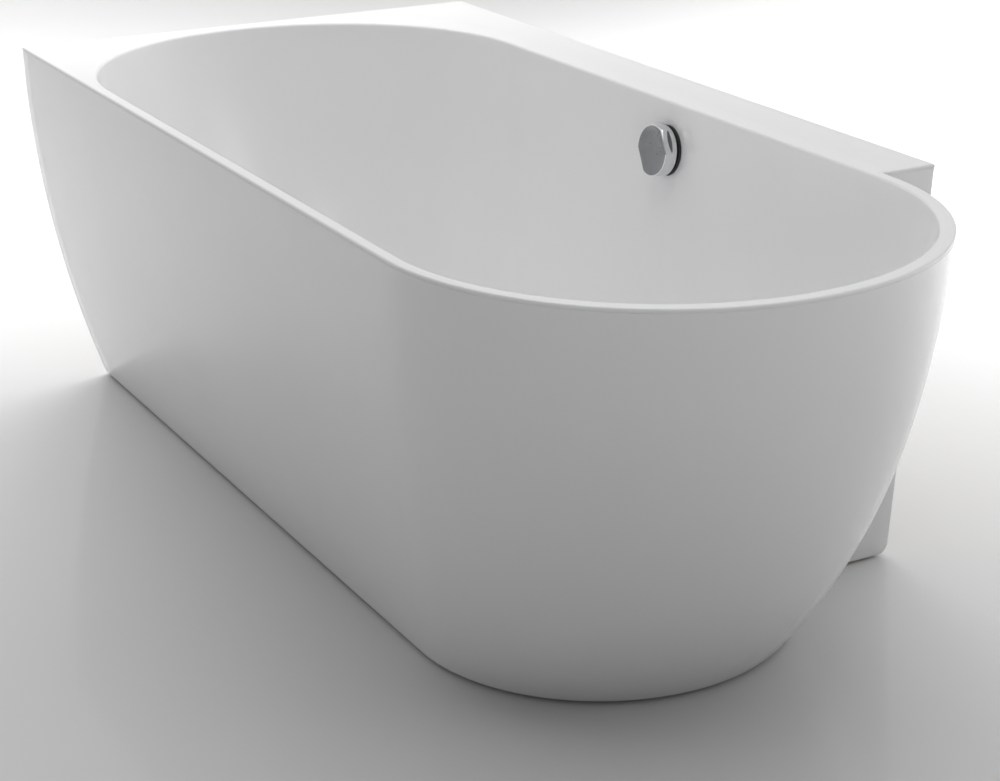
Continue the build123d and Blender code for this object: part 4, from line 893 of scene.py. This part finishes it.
def make_flakes():
    """Flat cells, each with a random tone: zinc spangle or wood flakes."""
    group, given, out = new_group(
        "flakes", [("Vector", "Vector"), ("Scale", "Float")], [("Tone", "Float"), ("Edge", "Float")]
    )
    cells = node(group, "TexVoronoi", {"Vector": given["Vector"], "Scale": given["Scale"]})
    tone = node(group, "SeparateColor", {"Color": cells.outputs["Color"]})
    group.links.new(tone.outputs[0], out["Tone"])
    group.links.new(cells.outputs["Distance"], out["Edge"])
    return group


MOTTLE, STRANDS, GRAIN, FLAKES = make_mottle(), make_strands(), make_grain(), make_flakes()


def new_material(name, roughness=0.5, metallic=0.0, ior=1.5):
    """A material with its Principled shader and its object coordinates."""
    material = bpy.data.materials.new(name)
    material.use_nodes = True
    tree = material.node_tree
    shader = tree.nodes["Principled BSDF"]
    shader.inputs["Roughness"].default_value = roughness
    shader.inputs["Metallic"].default_value = metallic
    shader.inputs["IOR"].default_value = ior
    return material, tree, shader.inputs, tree.nodes.new("ShaderNodeTexCoord").outputs["Object"]


def two_tone(tree, mask, first, second):
    """Colour between two tones by a mask; a tone is a colour or another colour's socket."""
    tones = [tone if isinstance(tone, bpy.types.NodeSocket) else (*tone, 1) for tone in (first, second)]
    return node(tree, "Mix", {0: mask, 6: tones[0], 7: tones[1]}, data_type="RGBA").outputs[2]


def bump(tree, shader, height, distance, under=None):
    """Relief of a height in metres, over another relief where one is given."""
    made = node(tree, "Bump", {"Height": height, "Distance": distance})
    if under is not None:
        tree.links.new(under, made.inputs["Normal"])
    tree.links.new(made.outputs[0], shader["Normal"])
    return made.outputs[0]


def clouded(tree, shader, place, light, dark, low, high, scale):
    """Tone and polish that vary a little over the surface, each with clouds of its own."""
    cloud = place_group(tree, MOTTLE, Vector=place, Scale=scale, Low=0.0, High=1.0)
    polish = place_group(tree, MOTTLE, Vector=place, Scale=2.7 * scale, Low=low, High=high)
    tree.links.new(two_tone(tree, cloud["Value"], light, dark), shader["Base Color"])
    tree.links.new(polish["Value"], shader["Roughness"])


def relief(tree, shader, place, scale, depth, under=None):
    """Relief from one noise."""
    mask = place_group(tree, MOTTLE, Vector=place, Scale=scale, Low=0.0, High=1.0)["Mask"]
    return bump(tree, shader, mask, depth, under)


def gloss_acrylic():
    """Gloss white sheet: slow waves left by the mould, and a polish that varies a little."""
    material, tree, shader, place = new_material("acrylic_gloss", ior=1.49)
    clouded(tree, shader, place, ACRYLIC_LIGHT, ACRYLIC_DARK, 0.10, 0.17, 3.0)
    slow = relief(tree, shader, place, 14.0, 0.00006)
    relief(tree, shader, place, 420.0, 0.000003, under=slow)
    return material


def resin_and_fibre():
    material, tree, shader, place = new_material("glass_fibre_resin", ior=1.55)
    strands = place_group(tree, STRANDS, Vector=place, Scale=330.0)
    clouded(tree, shader, place, (0.62, 0.58, 0.44), (0.50, 0.46, 0.33), 0.28, 0.55, 12.0)
    resin = shader["Base Color"].links[0].from_socket
    tree.links.new(two_tone(tree, strands["Mask"], resin, (0.80, 0.79, 0.70)), shader["Base Color"])
    bump(tree, shader, strands["Height"], 0.0011)
    return material


def sawn_timber():
    """Sawn softwood with its grain drawn out along the bath."""
    material, tree, shader, place = new_material("softwood_sawn", 0.65)
    grain = place_group(tree, GRAIN, Vector=place, Stretch=(1.2, 16.0, 16.0), Rings=5.0)
    color = two_tone(tree, grain["Mask"], (0.76, 0.59, 0.38), (0.52, 0.34, 0.17))
    tree.links.new(color, shader["Base Color"])
    bump(tree, shader, grain["Height"], 0.0003)
    return material


def birch_plywood():
    """Veneers that change tone through the thickness, with grain on the faces."""
    material, tree, shader, place = new_material("plywood_birch", 0.6)
    grain = place_group(tree, GRAIN, Vector=place, Stretch=(1.0, 12.0, 1.0), Rings=6.0)
    face = two_tone(tree, grain["Mask"], (0.70, 0.54, 0.35), (0.50, 0.34, 0.19))
    split = node(tree, "SeparateXYZ", {0: place})
    step = node(tree, "Math", {0: split.outputs[2], 1: math.pi / PLY}, operation="MULTIPLY")
    wave = node(tree, "Math", {0: step.outputs[0]}, operation="SINE")
    band = node(tree, "MapRange", {
        "Value": wave.outputs[0], "From Min": -0.3, "From Max": 0.3, "To Max": 0.45,
    })
    color = two_tone(tree, band.outputs["Result"], face, (0.36, 0.22, 0.11))
    tree.links.new(color, shader["Base Color"])
    bump(tree, shader, grain["Height"], 0.0004)
    return material


def flake_board():
    """Flakes of random tone under a coat of resin."""
    material, tree, shader, place = new_material("chipboard_flake", 0.55)
    small = place_group(tree, FLAKES, Vector=place, Scale=330.0)
    large = place_group(tree, FLAKES, Vector=place, Scale=120.0)
    fine = two_tone(tree, small["Tone"], (0.62, 0.48, 0.30), (0.36, 0.25, 0.13))
    tree.links.new(two_tone(tree, large["Tone"], fine, (0.50, 0.38, 0.22)), shader["Base Color"])
    bump(tree, shader, small["Edge"], 0.0004)
    return material


def spangled_zinc():
    material, tree, shader, place = new_material("galvanised_spangle", 0.4, 1.0)
    spangle = place_group(tree, FLAKES, Vector=place, Scale=130.0)
    color = two_tone(tree, spangle["Tone"], (0.42, 0.45, 0.47), (0.66, 0.68, 0.69))
    tree.links.new(color, shader["Base Color"])
    rough = node(tree, "MapRange", {"Value": spangle["Tone"], "To Min": 0.30, "To Max": 0.52})
    tree.links.new(rough.outputs["Result"], shader["Roughness"])
    relief(tree, shader, place, 90.0, 0.0001)
    return material


def plated(name, light, dark, low, high, scale, depth):
    """Plated or turned metal whose tone and polish vary a little over the surface."""
    material, tree, shader, place = new_material(name, low, 1.0)
    clouded(tree, shader, place, light, dark, low, high, scale)
    relief(tree, shader, place, 900.0, depth)
    return material


def brushed_plate():
    """Satin plate of the knob, brushed across: noise drawn out along one direction."""
    material, tree, shader, place = new_material("satin_plate", 0.25, 1.0)
    clouded(tree, shader, place, (0.27, 0.28, 0.285), (0.24, 0.25, 0.255), 0.20, 0.28, 60.0)
    drawn = node(tree, "Mapping", {"Vector": place, "Scale": (0.03, 1.0, 1.0)})
    relief(tree, shader, drawn.outputs["Vector"], 2500.0, 0.000004)
    return material


def moulded(name, light, dark, low, high, grain_scale, depth):
    """Moulded plastic or rubber: faint clouds in its tone and the fine grain of the mould."""
    material, tree, shader, place = new_material(name, low)
    clouded(tree, shader, place, light, dark, low, high, 26.0)
    relief(tree, shader, place, grain_scale, depth)
    return material


MATERIALS = {
    "acrylic": gloss_acrylic(),
    "glass_fibre": resin_and_fibre(),
    "plywood": birch_plywood(),
    "chipboard": flake_board(),
    "softwood": sawn_timber(),
    "galvanised_steel": spangled_zinc(),
    "zinc": plated("zinc_plate", (0.62, 0.64, 0.66), (0.50, 0.52, 0.55), 0.26, 0.42, 160.0, 0.00002),
    "chrome": plated("chrome_polish", (0.78, 0.79, 0.80), (0.74, 0.75, 0.76), 0.03, 0.07, 40.0, 0.0000004),
    "brass": plated("brass_turned", (0.72, 0.55, 0.26), (0.58, 0.42, 0.18), 0.22, 0.36, 120.0, 0.00001),
    "white_plastic": moulded(
        "white_moulded", (0.80, 0.80, 0.78), (0.74, 0.74, 0.71), 0.38, 0.52, 700.0, 0.00004
    ),
    "grey_plastic": moulded(
        "grey_extruded", (0.46, 0.47, 0.48), (0.38, 0.39, 0.40), 0.34, 0.50, 500.0, 0.00004
    ),
    "pad_plastic": moulded(
        "pad_moulded", (0.055, 0.055, 0.057), (0.035, 0.035, 0.037), 0.45, 0.62, 500.0, 0.00008
    ),
    # Black moulded plastic. On the rosette behind the knob this black is also painted shade, the dark of
    # the gap between knob and wall.
    "black_plastic": moulded(
        "black_moulded_and_gap_shade", (0.016, 0.017, 0.017), (0.010, 0.011, 0.011), 0.40, 0.55, 600.0, 0.00004
    ),
    "rubber": moulded(
        "rubber_moulded", (0.040, 0.040, 0.041), (0.028, 0.028, 0.029), 0.60, 0.80, 380.0, 0.00008
    ),
    "cable_sheath": moulded(
        "sheath_extruded", (0.07, 0.07, 0.075), (0.045, 0.045, 0.05), 0.36, 0.50, 500.0, 0.00003
    ),
}


def dress(piece, material):
    piece.data.materials.clear()
    piece.data.materials.append(material)


tub, skirt, knob, knob_face = make_tub(), make_skirt(), make_knob(), make_knob_face()
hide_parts("tub_shell")
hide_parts("outer_skirt")
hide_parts("overflow_knob")
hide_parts("overflow_knob")
finishes = {
    "acrylic": [tub, skirt],
    "chrome": [knob],
    "zinc": [
        *(make_stem(name) for name in FOOT_NAMES),
        make_nuts("foot_weld_nuts"),
        make_nuts("foot_lock_nuts"),
    ],
    "grey_plastic": [make_hose()],
    "cable_sheath": [make_cable()],
    "white_plastic": make_union_nuts(),
}
for finish_name, made_pieces in finishes.items():
    for made_piece in made_pieces:
        dress(made_piece, MATERIALS[finish_name])
dress(knob_face, brushed_plate())
for part in frame["record"]["subparts"]:
    for holder in frame["nodes"][part["node"]].material_slots:
        holder.material = MATERIALS[part["material_slot"]]


# Soft studio light: a sky of broad glows, and wide panels. Each glow is the positive part of the
# direction's dot product with an axis, raised to a power, and is given as axis, power and strength. A
# panel has its place, its target, its size, its power, the spread of its light in degrees, and whether
# glossy surfaces mirror it.
SKY_EVEN = 0.02
GLOWS = (
    ((-0.864, 0.504, 0.5), 4.0, 0.27),
    ((-0.95, -0.3, 0.1), 3.0, 0.97),
    ((0.3, -0.95, 0.1), 3.0, 0.39),
    ((0.1, 0.95, 0.3), 3.0, 0.96),
    ((0.57, 0.58, 0.57), 60.0, 1.5),
)
PANELS = (
    ("panel_above", (0.2, 0.1, 3.4), (0.1, 0.0, 0.0), (3.2, 2.4), 40.0, 180, True),
    ("panel_behind", (-2.2, 1.6, 2.6), (0.0, 0.0, 0.2), (3.0, 1.5), 34.0, 170, False),
    ("panel_floor_left", (-3.2, -0.3, 2.2), (-3.4, -0.3, 0.0), (2.5, 4.5), 56.0, 110, False),
    ("panel_floor_back", (0.0, 3.2, 2.2), (0.0, 3.4, 0.0), (6.0, 2.5), 172.0, 110, False),
    ("panel_floor_near", (0.4, 2.0, 1.6), (0.4, 2.1, 0.0), (3.0, 1.2), 10.0, 80, False),
    ("panel_end", (3.2, -1.0, 0.9), (0.8, -0.15, 1.09), (1.2, 0.5), 1.6, 50, False),
)


def make_sky():
    world = bpy.data.worlds.new("studio")
    bpy.context.scene.world = world
    world.use_nodes = True
    tree = world.node_tree
    direction = node(tree, "TexCoord").outputs["Generated"]
    total = SKY_EVEN
    for axis, power, strength in GLOWS:
        unit = tuple(Vector(axis).normalized())
        dot = node(tree, "VectorMath", {0: direction, 1: unit}, operation="DOT_PRODUCT").outputs["Value"]
        positive = node(tree, "Math", {0: dot, 1: 0.0}, operation="MAXIMUM").outputs[0]
        raised = node(tree, "Math", {0: positive, 1: power}, operation="POWER").outputs[0]
        added = {0: raised, 1: strength, 2: total}
        total = node(tree, "Math", added, operation="MULTIPLY_ADD").outputs[0]
    tree.links.new(total, tree.nodes["Background"].inputs["Strength"])
    tree.nodes["Background"].inputs["Color"].default_value = (1, 1, 1, 1)


def make_panel(name, place, target, size, power, spread, mirrored):
    data = bpy.data.lights.new(name, "AREA")
    data.shape = "RECTANGLE"
    data.size, data.size_y = size
    data.energy = power
    data.spread = math.radians(spread)
    light = bpy.data.objects.new(name, data)
    bpy.context.collection.objects.link(light)
    light.location = place
    light.rotation_mode = "QUATERNION"
    light.rotation_quaternion = (Vector(target) - Vector(place)).to_track_quat("-Z", "Y")
    light.visible_glossy = mirrored


def make_floor():
    """A plain pale floor with a soft polish."""
    mesh = bpy.data.meshes.new("floor")
    corners = [(x * FLOOR_REACH, y * FLOOR_REACH, 0) for x, y in ((-1, -1), (1, -1), (1, 1), (-1, 1))]
    mesh.from_pydata(corners, [], [(0, 1, 2, 3)])
    floor = bpy.data.objects.new("floor", mesh)
    bpy.context.collection.objects.link(floor)
    material, tree, shader, place = new_material("floor_pale", FLOOR_ROUGHNESS, ior=FLOOR_IOR)
    cloud = place_group(tree, MOTTLE, Vector=place, Scale=1.5, Low=0.0, High=1.0)
    tree.links.new(two_tone(tree, cloud["Value"], FLOOR_LIGHT, FLOOR_DARK), shader["Base Color"])
    dress(floor, material)


make_sky()
for panel in PANELS:
    make_panel(*panel)
make_floor()
bpy.context.scene.view_settings.view_transform = "Standard"
